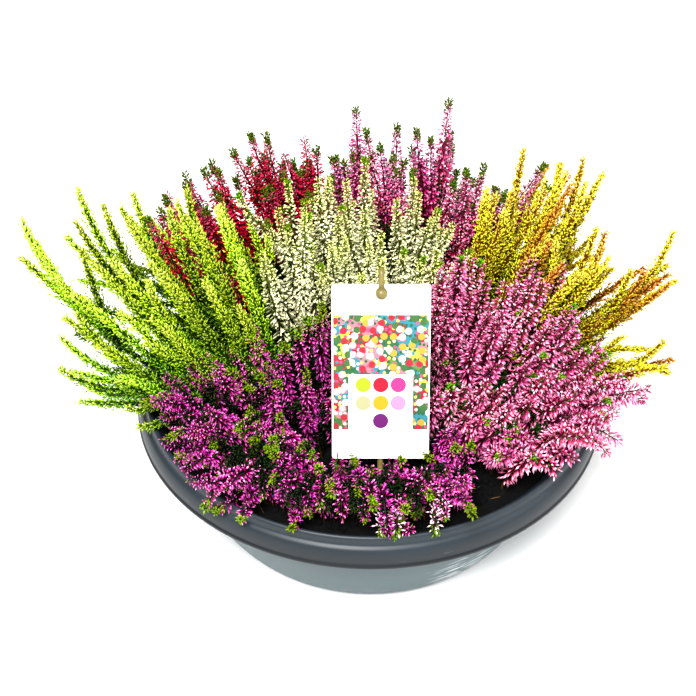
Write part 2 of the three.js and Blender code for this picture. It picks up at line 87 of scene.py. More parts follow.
# Each plant: where its crown is, how far its roots spread for how far its tips do, and the tips of
# its leaders, one a spray. flesh is how far the solids' leaves and florets reach from a shoot's
# axis. The tips that follow are of more shoots in the photo, and faded ones are at the rim. A spear
# is a shoot of its own, by its root's place and then its tip. stands asks for rings of short
# upright shoots.
PLANTS = [
    dict(name="lime", crown=(-74, 6), spread=0.6, flesh=5.8, curve=SPREADING, carpet_curve=LEANING,
         leaders=[(-185, -10, 205), (-160, 22, 203), (-134, 44, 185), (-110, 14, 194), (-82, 28, 187),
                  (-120, -22, 173), (-166, -36, 122), (-152, 66, 128)],
         tips=[(-146, 15, 197), (-161, 10, 190), (-158, 0, 178), (-139, 30, 186), (-101, 25, 200),
               (-84, 25, 189), (-78, 20, 182), (-57, 15, 176), (-172, -20, 133), (-174, -25, 114),
               (-159, -30, 106), (-140, -35, 114), (-135, -45, 102), (-128, -55, 98), (-119, -45, 109),
               (-136, -5, 146), (-180, -10, 191), (-176, -11, 181), (-171, -13, 169), (-162, -18, 148)],
         spears=[(-50, -12, -82, -2, 206), (-56, -18, -94, -6, 201), (-60, -20, -103, -4, 212),
                 (-62, -24, -113, -20, 178), (-66, -22, -119, -14, 179), (-70, -24, -129, -8, 202),
                 (-76, -26, -139, -16, 182), (-56, -26, -89, -22, 171), (-82, -28, -151, -12, 179),
                 (-80, -32, -136, -28, 157), (-86, -32, -157, -18, 157), (-92, -36, -148, -34, 139),
                 (-96, -42, -137, -44, 123), (-48, -18, -71, -8, 176), (-68, -34, -111, -36, 151),
                 (-98, -34, -169, -18, 145), (-50, -26, -72, -24, 157)]),
    dict(name="red", crown=(-46, 70), spread=0.64, flesh=5.4, curve=UPRIGHT,
         leaders=[(-120, 60, 173), (-92, 72, 190), (-60, 76, 206), (-38, 86, 195), (-64, 118, 166),
                  (-84, 124, 122)],
         tips=[(-106, 60, 182), (-88, 70, 185), (-79, 70, 199), (-69, 80, 203), (-49, 70, 195),
               (-31, 80, 194), (-96, 48, 172), (-52, 64, 188), (-22, 66, 182)],
         spears=[(-78, 30, -118, 26, 188), (-72, 22, -102, 14, 177), (-70, 36, -93, 30, 186),
                 (-56, 8, -80, 2, 166), (-84, 24, -125, 22, 185)]),
    dict(name="pink", crown=(22, 76), spread=0.64, flesh=5.4, curve=UPRIGHT,
         leaders=[(-8, 84, 218), (16, 86, 206), (46, 92, 219), (68, 84, 180), (-10, 126, 168),
                  (52, 126, 166), (20, 142, 120)],
         tips=[(-22, 80, 187), (-2, 80, 206), (6, 80, 196), (14, 80, 189), (25, 90, 188),
               (27, 80, 207), (58, 80, 177), (101, 70, 189), (104, 60, 180), (36, 84, 198),
               (74, 66, 176), (21, 78, 186), (17, 76, 181), (30, 82, 184), (2, 80, 191)]),
    dict(name="white", crown=(-8, 20), spread=0.74, flesh=5.6, curve=UPRIGHT,
         leaders=[(-3, 42, 211), (-29, 38, 199), (25, 42, 196), (-46, 10, 188), (6, 6, 185)],
         tips=[(-24, 40, 200), (15, 40, 184), (-34, 20, 189), (-51, 20, 191), (-75, 40, 188),
               (-36, 10, 196), (-16, 22, 192), (34, 26, 180), (-60, 8, 170), (-28, -6, 172),
               (46, 24, 178), (56, 14, 168), (38, 2, 168), (-58, 24, 180), (-18, 2, 178)]),
    dict(name="gold", crown=(82, 32), spread=0.56, flesh=5.6, curve=SPREADING, carpet_curve=LEANING,
         leaders=[(86, 54, 208), (112, 78, 182), (118, 42, 209), (130, 14, 180), (167, 12, 181),
                  (161, -28, 136), (136, 84, 126)],
         tips=[(107, 50, 202), (119, 30, 202), (126, 20, 178), (67, 50, 183), (129, 10, 173),
               (144, 0, 164), (152, 0, 163), (98, 40, 190), (76, 36, 178), (104, 18, 170)]),
    dict(name="blush", crown=(66, -42), spread=0.6, flesh=6.6, curve=UPRIGHT,
         leaders=[(50, 2, 172), (92, 2, 161), (72, -22, 152), (114, -14, 145), (146, -38, 121),
                  (104, -50, 131), (62, -58, 132), (128, -76, 97), (86, -84, 112)],
         tips=[(42, -10, 134), (41, -30, 124), (46, -42, 112), (56, 0, 147)]),
    dict(name="purple", crown=(-54, -44), spread=0.64, flesh=6, curve=UPRIGHT,
         leaders=[(-68, -16, 145), (-28, -22, 150), (-94, -30, 131), (-118, -58, 120), (-62, -48, 131),
                  (-36, -56, 127), (-96, -78, 114), (-64, -80, 118)],
         tips=[(-112, -49, 98), (-114, -64, 96), (-106, -77, 97), (-97, -94, 96), (-103, -66, 104),
               (-91, -90, 104)]),
    dict(name="purple_front", crown=(-14, -92), spread=0.62, flesh=6, curve=UPRIGHT, stands=True,
         leaders=[(-88, -114, 92), (-46, -102, 102), (-6, -117, 96), (8, -132, 93), (38, -122, 97)],
         tips=[(-83, -113, 92), (-41, -121, 96), (23, -120, 95), (-26, -112, 97), (-69, -122, 94),
               (-42, -128, 94), (-37, -118, 98), (20, -130, 95), (52, -106, 103)],
         faded=[(5, -128, 88), (13, -129, 87), (33, -127, 87), (38, -121, 92)]),
    dict(name="purple_right", crown=(42, -82), spread=0, flesh=6, curve=UPRIGHT, leaders=[(46, -92, 115)]),
]


# ---------- small tools
def random_from(seed):
    """The source's own generator of draws from 0 to 1, which the side shoots' rule uses."""
    state = seed

    def draw():
        nonlocal state
        state = (state + 0x6D2B79F5) & 0xFFFFFFFF
        mixed = ((state ^ state >> 15) * (1 | state)) & 0xFFFFFFFF
        mixed = (mixed + (((mixed ^ mixed >> 7) * (61 | mixed)) & 0xFFFFFFFF) ^ mixed) & 0xFFFFFFFF
        return (mixed ^ mixed >> 14) / 4294967296
    return draw


def smooth(low, high, x):
    t = np.clip((np.asarray(x, float) - low) / (high - low), 0, 1)
    return t * t * (3 - 2 * t)


def unit(v):
    return v / np.maximum(np.linalg.norm(v, axis=-1, keepdims=True), 1e-9)


def col(a):
    return np.asarray(a, float)[..., None]


def swung(a, b, angle):
    """Directions at the given angles from a towards b."""
    return a * col(np.cos(angle)) + b * col(np.sin(angle))


def soil_height(x, y):
    return SOIL_Z + SOIL_CROWN * (1 - (x * x + y * y) / NECK_R ** 2)


def wall_radius(z):
    return BASE_R + (NECK_R - BASE_R) * (z / SKIRT_Z) ** BULGE


def label_point(up, back, across=0.0):
    place = CARD_CENTRE + np.multiply.outer(up, CARD_UP) + np.multiply.outer(back, CARD_BACK)
    return place + np.multiply.outer(across, [1.0, 0, 0])


# ---------- paths
class Path:
    """A curve at(t), read by share of its length."""
    STEPS = np.linspace(0, 1, 201)
    NEAR = 1e-4

    def __init__(self, at):
        self.at = at
        gaps = np.linalg.norm(np.diff(at(self.STEPS), axis=0), axis=1)
        self.marks = np.concatenate([[0], np.cumsum(gaps)])
        self.length = self.marks[-1]

    def t_of(self, share):
        return np.interp(np.asarray(share, float) * self.length, self.marks, self.STEPS)

    def point(self, share):
        return self.at(self.t_of(share))

    def tangent_at(self, t):
        return unit(self.at(np.minimum(t + self.NEAR, 1)) - self.at(np.maximum(t - self.NEAR, 0)))

    def tangent(self, share):
        return self.tangent_at(self.t_of(share))

    def frames(self, share):
        """Centre, tangent and two directions across, at each share."""
        tangent = self.tangent(share)
        mean = np.abs(tangent.mean(0))
        across = np.array([1.0, 0, 0]) if mean[0] < mean[1] else np.array([0, 1.0, 0])
        normal = unit(across - col(tangent @ across) * tangent)
        return self.point(share), tangent, normal, np.cross(tangent, normal)


def cubic(a, b, c, d):
    def at(t):
        t = col(t)
        s = 1 - t
        return s ** 3 * a + 3 * s * s * t * b + 3 * s * t * t * c + t ** 3 * d
    return at


def between(start, tip, across, up):
    return start + (tip - start) * np.array([across, across, up])


def leader_path(root, tip, curve=UPRIGHT):
    """Straight up out of the soil at the root, then in a curve to the tip."""
    soil = soil_height(*root)
    foot, start = np.array([*root, soil - STEM_DEPTH]), np.array([*root, soil + STEM_RISE])
    arch = np.array([0, 0, ARCH * max(0, soil + ARCH_BELOW - tip[2])])
    straight = STEM_DEPTH + STEM_RISE
    foot_share = straight / (straight + np.linalg.norm(tip - start))
    arc = cubic(start, between(start, tip, *curve[:2]) + arch, between(start, tip, *curve[2:]) + arch, tip)

    def at(t):
        t = np.asarray(t, float)
        low = foot + (start - foot) * col(t / foot_share)
        high = arc(np.maximum(t - foot_share, 0) / (1 - foot_share))
        return np.where(col(t < foot_share), low, high)
    return Path(at)


def side_path(leader, leaves_at, tip_at, direction, reach):
    """From one place on the leader to a tip that stands beside another."""
    start, beside = leader.at(leaves_at), leader.at(tip_at)
    along = leader.tangent_at(tip_at)
    outward = np.array([math.cos(direction), math.sin(direction), 0])
    outward = unit(outward - along * (outward @ along))
    tip = beside + outward * reach
    return Path(cubic(start, start + (tip - start) * 0.3 + outward * reach * SIDE_SWING[0],
                      start + (tip - start) * 0.7 + outward * reach * SIDE_SWING[1], tip))


# ---------- the solids' shoots
def samples_of(plant, path, is_leader):
    """Points down the shoot, with its radius as a fourth column."""
    share = np.linspace(0, 1, math.ceil(path.length / SAMPLE_STEP) + 1)
    along = share * path.length + (0 if is_leader else BARE_UP_TO)
    taper = 1 - TIP_TAPER * smooth(TAPER_FROM, 1, share)
    radius = STEM_R + (plant["flesh"] - STEM_R) * smooth(BARE_UP_TO, FULL_FROM, along) * taper
    return np.c_[path.point(share), radius]


def label_samples():
    """Points on the card and a little above it, and down the stake, as thick as the stake."""
    rows, columns = np.arange(CARD_ROWS + 2) / CARD_ROWS, np.arange(CARD_COLUMNS + 1) / CARD_COLUMNS
    up, across = np.meshgrid(CARD_H * (rows - 0.5), CARD_W * (columns - 0.5), indexing="ij")
    grid = label_point(up.ravel(), np.zeros(up.size), across.ravel())
    down = np.arange(-CARD_H / 2 - STAKE_DEPTH, -CARD_H / 2, SAMPLE_STEP)
    points = np.vstack([grid, label_point(down, np.full(len(down), HOOK_R))])
    return np.c_[points, np.full(len(points), STAKE_R)]


def room_between(samples, others):
    gaps = np.linalg.norm(samples[:, None, :3] - others[None, :, :3], axis=2)
    return (gaps - samples[:, None, 3] - others[None, :, 3]).min()


def room_above_bowl(points):
    out = np.hypot(points[:, 0], points[:, 1])
    inner = NECK_R - WALL
    sideways = np.maximum(0, np.maximum(inner - out, out - RIM_R))
    to_rim = np.hypot(sideways, np.maximum(0, points[:, 2] - BOWL_H))
    to_soil = np.where(out < inner, points[:, 2] - soil_height(points[:, 0], points[:, 1]), np.inf)
    return np.minimum(to_rim, to_soil)


def bush_at(leader, others, share):
    """The bush's radius at each share, up to halfway to what stands nearest."""
    start = BUSH_FROM / leader.length
    at = leader.point(share)
    to_nearest = np.linalg.norm(at[:, None] - others[None, :, :3], axis=2).min(1)
    room = np.minimum(np.minimum(BUSH_R, to_nearest / 2 - BUSH_GAP), room_above_bowl(at) - BUSH_GAP)
    t = np.clip((share - start) / (BUSH_TO - start), 0, 1)
    wide = room * np.sqrt(np.sin(math.pi * (BUSH_START + BUSH_SPAN * t)))
    return np.where((share < start) | (share > BUSH_TO), 0, wide)


def best_side(spray, others, turn, leaves_at, tip_at, reach):
    """The side shoot with the most room round it, and its samples, or nothing."""
    most, best = ROOM, None
    for i in range(SIDE_DIRECTIONS):
        direction = turn + 2 * math.pi * i / SIDE_DIRECTIONS
        path = side_path(spray["paths"][0], leaves_at, tip_at, direction, reach)
        samples = samples_of(spray["plant"], path, False)
        rooms = [room_between(samples, others), (room_above_bowl(samples) - samples[:, 3]).min()]
        rooms += [room_between(samples[-3:], own[-3:]) / 2 for own in spray["samples"][1:]]
        if min(rooms) > most:
            most, best = min(rooms), (path, samples)
    return best


def lay_out_sprays():
    """The leader, the bush and the side shoots of each of the part's sprays."""
    sprays = []
    for plant in PLANTS:
        middle = np.mean(plant["leaders"], axis=0)[:2]
        for i, leader in enumerate(plant["leaders"]):
            tip = np.array(leader, float)
            root = np.array(plant["crown"]) + plant["spread"] * (tip[:2] - middle)
            path = leader_path(root, tip, plant["curve"])
            sprays.append(dict(name=f"{plant['name']}_heather_spray_{i + 1}", plant=plant,
                               root=root, paths=[path], samples=[samples_of(plant, path, True)]))

    def others_than(spray):
        return np.vstack([rows for s in sprays if s is not spray for rows in s["samples"]] + [label])

    label = label_samples()
    for spray in sprays:
        share = np.linspace(0, 1, len(spray["samples"][0]))
        spray["bush"] = bush_at(spray["paths"][0], others_than(spray), share)
    for spray in sprays:
        first = spray["samples"][0]
        first[:, 3] = np.maximum(first[:, 3], spray["bush"])
    draw = random_from(SEED)
    for shape in zip(SIDE_LEAVES_AT, SIDE_TIP_AT, SIDE_REACH):
        for spray in sprays:
            best = best_side(spray, others_than(spray), 2 * math.pi * draw(), *shape)
            if best:
                spray["paths"].append(best[0])
                spray["samples"].append(best[1])
    return sprays


# ---------- heaps of small closed pieces
def spindle(sides, rings):
    """A closed spindle along Z from 0 to 1: a point at each end and rings of (height, radius)."""
    points, faces = [(0, 0, 0)], []
    for r, (z, wide) in enumerate(rings):
        for s in range(sides):
            turn = 2 * math.pi * (s + 0.5 * r) / sides
            points.append((wide * math.cos(turn), wide * math.sin(turn), z))
    points.append((0, 0, 1))
    top = len(points) - 1
    for s in range(sides):
        n = (s + 1) % sides
        faces.append((0, 1 + n, 1 + s))
        for r in range(len(rings) - 1):
            a, b = 1 + r * sides + s, 1 + r * sides + n
            faces += [(a, b, a + sides), (b, b + sides, a + sides)]
        faces.append((top - sides + s, top - sides + n, top))
    return np.array(points, float), np.array(faces)


def needle():
    """A closed pyramid along Z with three sides, the fewest faces that a leaf can have."""
    turn = 2 * math.pi * np.arange(3) / 3
    points = np.vstack([np.c_[0.5 * np.cos(turn), 0.5 * np.sin(turn), np.zeros(3)], [(0, 0, 1)]])
    return points, np.array([(0, 1, 3), (1, 2, 3), (2, 0, 3), (0, 2, 1)])


LEAF = needle()
BELL = (LEAF[0] * [1, 1, -1] + [0, 0, 1], LEAF[1][:, ::-1])  # it stands on its point
LONG_BUD = spindle(3, [(0.7, 0.5)])
GRAIN = spindle(3, [(0.45, 0.5)])


def add_object(name, data):
    thing = bpy.data.objects.new(name, data)
    bpy.context.scene.collection.objects.link(thing)
    return thing


class Heap:
    """Triangles of one piece in mm, each point with four facts that its material reads."""
    FACTS = ("along", "draw", "height", "shoot")

    def __init__(self):
        self.points, self.faces, self.slots, self.facts, self.count = [], [], [], [], 0

    def add(self, points, faces, slot, facts):
        self.points.append(points)
        self.faces.append(faces + self.count)
        self.slots.append(np.full(len(faces), slot, np.int32))
        self.facts.append(facts)
        self.count += len(points)

    def strew(self, template, origin, axis, length, width, slot, draw, height, shoot, sag=0.0):
        """One copy of the template from each origin along its axis; sag bends it down."""
        points, faces = template
        n, k = len(origin), len(points)
        if not n:
            return
        axis = unit(axis)
        side = unit(np.cross(axis, UP + np.array([0.013, 0.021, 0])))  # no axis is quite that one
        other = np.cross(axis, side)
        long, wide = (np.broadcast_to(a, n)[:, None, None] for a in (length, width))
        x, y, z = (points[None, :, i, None] for i in range(3))
        placed = origin[:, None] + axis[:, None] * long * z + wide * (side[:, None] * x + other[:, None] * y)
        placed[..., 2] -= sag * long[..., 0] * points[:, 2] ** 2
        facts = np.empty((n, k, 4))
        facts[..., 0] = points[:, 2]
        for i, value in enumerate((draw, height, shoot), 1):
            facts[..., i] = np.broadcast_to(value, n)[:, None]
        all_faces = faces + (np.arange(n) * k)[:, None, None]
        self.add(placed.reshape(-1, 3), all_faces.reshape(-1, 3), slot, facts.reshape(-1, 4))

    def tube(self, path, radii, slot, shoot, sides=3, step=9.0, marks=(0, 1), heights=(0, 1)):
        """A closed tube down a path, with the given radii and heights at the marks."""
        rings = max(3, int(path.length / step))
        share = np.linspace(0, 1, rings)
        centre, _, normal, binormal = path.frames(share)
        turn = 2 * math.pi * np.arange(sides) / sides
        wide = np.interp(share, marks, radii)[:, None, None]
        points = (centre[:, None] + wide * swung(normal[:, None], binormal[:, None], turn)).reshape(-1, 3)
        a = np.arange((rings - 1) * sides)
        b = a // sides * sides + (a + 1) % sides
        cap = np.array([(0, s, s + 1) for s in range(1, sides - 1)])
        faces = np.vstack([np.c_[a, b, a + sides], np.c_[b, b + sides, a + sides],
                           cap[:, [0, 2, 1]], cap + len(points) - sides])
        height = np.repeat(np.interp(share, marks, heights), sides)
        facts = np.c_[height, np.full(len(points), 0.5), height, np.full(len(points), shoot)]
        self.add(points, faces, slot, facts)

    def made(self, name, materials):
        points, faces = np.vstack(self.points) / 1000, np.vstack(self.faces)
        mesh = bpy.data.meshes.new(name)
        mesh.vertices.add(len(points))
        mesh.loops.add(faces.size)
        mesh.polygons.add(len(faces))
        mesh.vertices.foreach_set("co", points.astype(np.float32).ravel())
        mesh.loops.foreach_set("vertex_index", faces.astype(np.int32).ravel())
        for key, values in (("loop_start", np.arange(0, faces.size, 3, dtype=np.int32)),
                            ("material_index", np.concatenate(self.slots)),
                            ("use_smooth", np.ones(len(faces), bool))):
            mesh.polygons.foreach_set(key, values)
        for fact, values in zip(self.FACTS, np.vstack(self.facts).T.astype(np.float32)):
            layer = mesh.attributes.new(fact, "FLOAT", "POINT")
            layer.data.foreach_set("value", np.ascontiguousarray(values))
        for material in materials:
            mesh.materials.append(material)
        mesh.update(calc_edges=True)
        mesh.validate()
        return add_object(name, mesh)


# ---------- materials
def linear(rgb):
    """From the colour as it is seen, each part 0 to 255, to what a shader takes."""
    c = np.array(rgb, float) / 255
    return (*np.where(c <= 0.04045, c / 12.92, ((c + 0.055) / 1.055) ** 2.4), 1.0)


class Nodes:
    """A material's node tree, with one call a node."""

    def __init__(self, name, rough, specular):
        self.material = bpy.data.materials.new(name)
        self.material.use_nodes = True
        self.tree = self.material.node_tree
        self.shader = self.tree.nodes["Principled BSDF"]
        self.shader.inputs["Roughness"].default_value = rough
        self.shader.inputs["Specular IOR Level"].default_value = specular

    def fill(self, sockets, values):
        for socket, value in zip(sockets, values):
            if isinstance(value, bpy.types.NodeSocket):
                self.tree.links.new(value, socket)
            else:
                socket.default_value = value

    def node(self, kind, inputs=(), **settings):
        made = self.tree.nodes.new("ShaderNode" + kind)
        for key, value in settings.items():
            setattr(made, key, value)
        inputs = dict(inputs)
        self.fill([made.inputs[key] for key in inputs], inputs.values())
        return made

    def fact(self, name):
        return self.node("Attribute", attribute_name=name).outputs["Fac"]

    def place(self):
        return self.node("TexCoord").outputs["Object"]

    def noise(self, place, scale, detail=2.0):
        return self.node("TexNoise", {"Vector": place, "Scale": scale, "Detail": detail}).outputs["Fac"]

    def apart(self, a, b):
        return self.node("VectorMath", {0: a, 1: b}, operation="DISTANCE").outputs["Value"]

    def ramp(self, fac, stops, stepped=False):
        made = self.node("ValToRGB", {"Fac": fac})
        ramp = made.color_ramp
        ramp.interpolation = "CONSTANT" if stepped else "LINEAR"
        while len(ramp.elements) < len(stops):
            ramp.elements.new(0.5)
        for element, (place, _) in zip(ramp.elements, stops):
            element.position = place
        for element, (_, rgb) in zip(ramp.elements, stops):
            element.color = linear(rgb)
        return made.outputs["Color"]

    def shades(self, fac, dark, light):
        return self.ramp(fac, [(0.3, dark), (0.7, light)])

    def map(self, value, low, high, start=0.0, end=1.0):
        return self.node("MapRange", {"Value": value, "From Min": start, "From Max": end,
                                      "To Min": low, "To Max": high}).outputs["Result"]

    def mix(self, fac, a, b):
        made = self.node("Mix", data_type="RGBA")
        self.fill([made.inputs[i] for i in (0, 6, 7)], (fac, a, b))
        return made.outputs[2]

    def math(self, operation, a, b):
        made = self.node("Math", operation=operation)
        self.fill(made.inputs, (a, b))
        return made.outputs[0]

    def times(self, a, b):
        return self.math("MULTIPLY", a, b)

    def colour(self, socket, plain):
        """Ends in the base colour; plain is what the socket itself keeps."""
        self.shader.inputs["Base Color"].default_value = linear(plain)
        self.tree.links.new(socket, self.shader.inputs["Base Color"])
        return self.material

    def bump(self, height, strength, distance):
        made = self.node("Bump", {"Height": height, "Strength": strength, "Distance": distance})
        self.tree.links.new(made.outputs["Normal"], self.shader.inputs["Normal"])


LEAVES, FLORETS, STEMS = 0, 1, 2  # a spray's material slots
FADED = 1.5  # the shoot draw of a faded bloom; those of the others are below 1
WOOD, TUFT_GREEN = (74, 52, 34), (66, 84, 26)


def plant_material(name, base, tip, value, blend=(0.2, 0.9), blend_over=(0, 1), hue=(0.0, 0.0), hue_by=1.0,
                   shoot_value=(0.85, 1.1), rough=0.5, saturation=1.12, pale=None, faded=None):
    """base and tip are ramps over the height on the shoot, for a floret's or leaf's two ends;
    the draws of each floret and each shoot change the value and the hue. They are random, except
    that a foliage leaf's draw also rises outwards as painted shade. pale is the place on a floret where
    its pale end starts, that end's colour and its strength: the floret's own paler tip, with a painted
    highlight on it."""
    n = Nodes(name, rough, specular=0.18)
    height, along, draw, shoot = n.fact("height"), n.fact("along"), n.fact("draw"), n.fact("shoot")
    mixed = n.mix(n.map(along, *blend, *blend_over), n.ramp(height, base), n.ramp(height, tip))
    if pale:
        # The pale end: the floret's own paler tip and a painted highlight, stronger on lighter draws.
        start, light, most = pale
        pale_tip_and_highlight = n.times(n.map(along, 0, most, start, start + 0.3),
                            n.times(n.map(draw, 0.35, 1), n.map(shoot, 0.5, 1.1)))
        mixed = n.mix(pale_tip_and_highlight, mixed, linear(light))
    if faded:
        mixed = n.mix(n.map(shoot, 0, 0.8, 1.2, FADED), mixed, linear(faded))
    strength = n.times(n.map(draw, *value), n.map(shoot, *shoot_value))
    out = n.node("HueSaturation", {"Hue": n.map(shoot, 0.5 + hue[0], 0.5 + hue[1], 0, hue_by),
                                   "Saturation": saturation, "Value": strength, "Color": mixed})
    return n.colour(out.outputs["Color"], tip[len(tip) // 2][1])


def stem_material(name, *inside):
    """Wood below, and above it the inside of the shoot, from the bloom's foot to the tip; the inside's
    dark colours are partly the stem's own and partly painted shade within the bloom.
    """
    stops = [(0, WOOD), (0.4, WOOD), *zip((0.62, 0.92, 1), inside)]
    return plant_material(name, stops, stops, value=(0.9, 1.1))


def foliage(name, base, tip, inside, **looks):
    """The materials of a heather grown for its leaves. Each ramp is given by its places, then its
    colours. It has no florets, so their slot holds the leaves' material again."""
    leaves = plant_material(name + "_leaves", list(zip(*base)), list(zip(*tip)), blend=(0, 0.95),
                            saturation=0.98, **looks)
    return [leaves, leaves, stem_material(name + "_stems", inside)]


def flowers(name, leaves, foot, end, middle, inside, bright=1.5, **looks):
    """The materials of a heather grown for its flowers. leaves are its dark, middle and bright
    greens; the leaves are painted dark low on the shoot and bright at its top, as painted shade.
    foot and end are the colours of a floret's two ends, from the bloom's foot to its tip, and end's
    second colour stands at middle; the dark foot colours are partly the florets' own and partly
    painted shade between the florets."""
    dark, mid, light = leaves
    # The leaves' ramps run from dark low on the shoot to bright at its top: painted shade.
    return [plant_material(name + "_heather_leaves", [(0, dark), (0.5, dark), (0.8, mid), (1, mid)],
                           [(0, dark), (0.35, mid), (0.8, light), (1, light)], value=(0.6, bright),
                           blend=(0.0, 0.8), hue=(-0.015, 0.015), rough=0.45),
            # A floret's dark foot is partly its own colour and partly painted shade between the florets.
            plant_material(name + "_florets", list(zip((0, 1), foot)), list(zip((0, middle, 1), end)),
                           **looks),
            stem_material(name + "_heather_stems", *inside)]


MATERIALS = dict(
    # The lime's and gold's ramps run dark towards the foot of the shoot: painted shade; the gold's greener
    # foot is its own colour.
    lime=foliage("lime",
                 base=((0, 0.5, 0.85, 1), ((16, 46, 4), (66, 116, 6), (130, 174, 10), (162, 200, 20))),
                 tip=((0, 0.45, 0.85, 1), ((40, 88, 8), (138, 190, 24), (214, 240, 64), (238, 252, 128))),
                 inside=(24, 46, 4), value=(0.64, 1.45), hue=(-0.024, 0.003), shoot_value=(0.66, 1.2)),
    gold=foliage("gold",
                 base=((0, 0.35, 0.8, 1), ((58, 70, 6), (130, 104, 4), (188, 128, 4), (212, 142, 14))),
                 tip=((0, 0.35, 0.8, 1), ((112, 146, 20), (206, 204, 36), (246, 228, 64), (252, 242, 116))),
                 inside=(84, 44, 6), value=(0.52, 1.46), hue=(-0.06, 0.04), hue_by=0.4,
                 shoot_value=(0.78, 1.14)),
    red=flowers("red", ((22, 42, 12), (58, 78, 22), (98, 116, 36)), ((58, 0, 4), (84, 4, 20)),
                ((208, 18, 36), (214, 28, 58), (236, 112, 146)), 0.55,
                ((52, 4, 8), (110, 16, 30), TUFT_GREEN), bright=1.25, blend=(0.1, 1), blend_over=(0, 0.75),
                value=(0.24, 1.0), hue=(-0.008, 0.004), pale=(0.76, (248, 156, 172), 0.45)),
    pink=flowers("pink", ((22, 44, 12), (58, 80, 22), (100, 120, 38)), ((92, 2, 28), (116, 8, 56)),
                 ((220, 52, 100), (242, 104, 160), (248, 156, 200)), 0.6,
                 ((64, 6, 22), (140, 40, 80), TUFT_GREEN), bright=1.25, blend=(0.08, 1), blend_over=(0, 0.8),
                 value=(0.26, 1.18), hue=(-0.015, 0.012), pale=(0.7, (255, 220, 234), 0.9)),
    white=flowers("white", ((14, 34, 6), (48, 82, 16), (130, 158, 46)), ((44, 50, 4), (140, 150, 50)),
                  ((255, 250, 212), (255, 254, 222), (242, 242, 160)), 0.7,
                  ((28, 32, 8), (84, 94, 34), TUFT_GREEN), blend=(0.05, 0.7), value=(0.5, 1.85)),
    blush=flowers("blush", ((18, 44, 10), (56, 98, 26), (118, 170, 50)), ((106, 0, 32), (128, 2, 52)),
                  ((246, 116, 168), (240, 100, 158), (226, 84, 146)), 0.5, [(56, 2, 20)], blend=(0, 1),
                  blend_over=(0.05, 0.85), value=(0.5, 1.35), hue=(-0.012, 0.012), saturation=1.05,
                  pale=(0.5, (255, 214, 234), 0.95)),
    purple=flowers("purple", ((5, 15, 4), (30, 56, 12), (152, 180, 56)), ((72, 0, 46), (88, 2, 56)),
                   ((232, 96, 200), (228, 92, 194), (200, 70, 160)), 0.5, [(30, 4, 18)], bright=1.3,
                   blend=(0, 1), blend_over=(0.25, 0.9), value=(0.55, 1.5), hue=(-0.004, 0.022),
                   pale=(0.62, (252, 208, 234), 0.85), faded=(250, 222, 234)),
)


# ---------- how each colour grows
# A bloom: its length, florets a mm, a floret's length and width, how far it lifts at the bloom's
# foot and tip, the green tuft's length and how many shoots have one, a floret's stalk and shape,
# how slim the bloom's end is and from where, the stem's radius, and how crowded the tip is.
BLOOM = dict(
    red=dict(bloom=56, per_mm=3.4, bud=(4.3, 1.45), lift=(-0.3, 0.5), tuft=9, tuft_share=0.85, stalk=1.0,
             template=BELL, slim=0.55, full=0.45, core=0.8, crowd=1.45),
    pink=dict(bloom=60, per_mm=3.7, bud=(4.4, 1.4), lift=(-0.25, 0.5), tuft=9, tuft_share=0.85, stalk=1.0,
              template=BELL, slim=0.55, full=0.4, core=0.7, crowd=1.5),
    white=dict(bloom=84, per_mm=3.0, bud=(4.0, 1.45), lift=(-0.4, 0.7), tuft=4, tuft_share=0.4, stalk=1.2,
               template=BELL, slim=0.5, full=0.55, core=0.7, crowd=1.3),
    blush=dict(bloom=54, per_mm=3.6, bud=(5.6, 1.35), lift=(-0.4, 0.75), tuft=4, tuft_share=0.2, stalk=1.2,
               template=LONG_BUD, slim=0.72, full=0.65, core=0.8, crowd=1),
    purple=dict(bloom=38, per_mm=3.2, bud=(4.5, 1.15), lift=(-0.6, 0.5), tuft=9, tuft_share=0.55, stalk=1.2,
                template=LONG_BUD, slim=0.6, full=0.55, core=1.1, crowd=1),
)
STANDING = dict(BLOOM["purple"], per_mm=2.5, bud=(4.1, 1.1), lift=(-0.9, 0.3), tuft=4.5, tuft_share=0.8,
                full=0.7, slim=0.7)
FADING = dict(STANDING, bloom=16, tuft=5, tuft_share=1, per_mm=2.3)
LONG_TWIG = dict(lime=11.5, gold=10.5)  # a foliage shoot's longest side twigs
# The fewest shoots from a spray's root and leader, without the carpet's.
SHOOTS = dict(lime=3, red=4, pink=4, white=4, gold=3, blush=4, purple=4)

# Leaves: how many a mm, their size, how steeply they lift, and how far off the axis they stand.
TUFT_LEAVES = dict(per_mm=2.8, length=3.1, width=1.4, lift=0.8, template=GRAIN)
FOOT_LEAVES = dict(per_mm=1.3, length=3.2, width=1.2, lift=0.6)
BLOOM_LEAVES = dict(per_mm=0.5, length=2.6, width=0.9, lift=0.7, stand=1.0)
# The leaves on a foliage shoot's own stem take low draws, so they are painted darker, as shade inside the
# plume.
TWIG_LEAVES = dict(per_mm=1.1, length=2.8, width=1.6, lift=0.95, stand=1.0, draws=(0.1, 0.6), crowd=1.6)
LOW_LEAVES = dict(per_mm=1.7, length=3.4, width=1.6, lift=0.6)
TWIG_LEAF_LENGTH, TWIG_LEAF_WIDTH, TWIG_LEAF_GAP, TWIGS_PER_MM = 2.6, 1.72, 1.8, 1.08
LEADER_STEM, SIDE_STEM = 0.9, 0.6
ANY_TURN = 6.28  # a whole turn, near enough where a random one starts


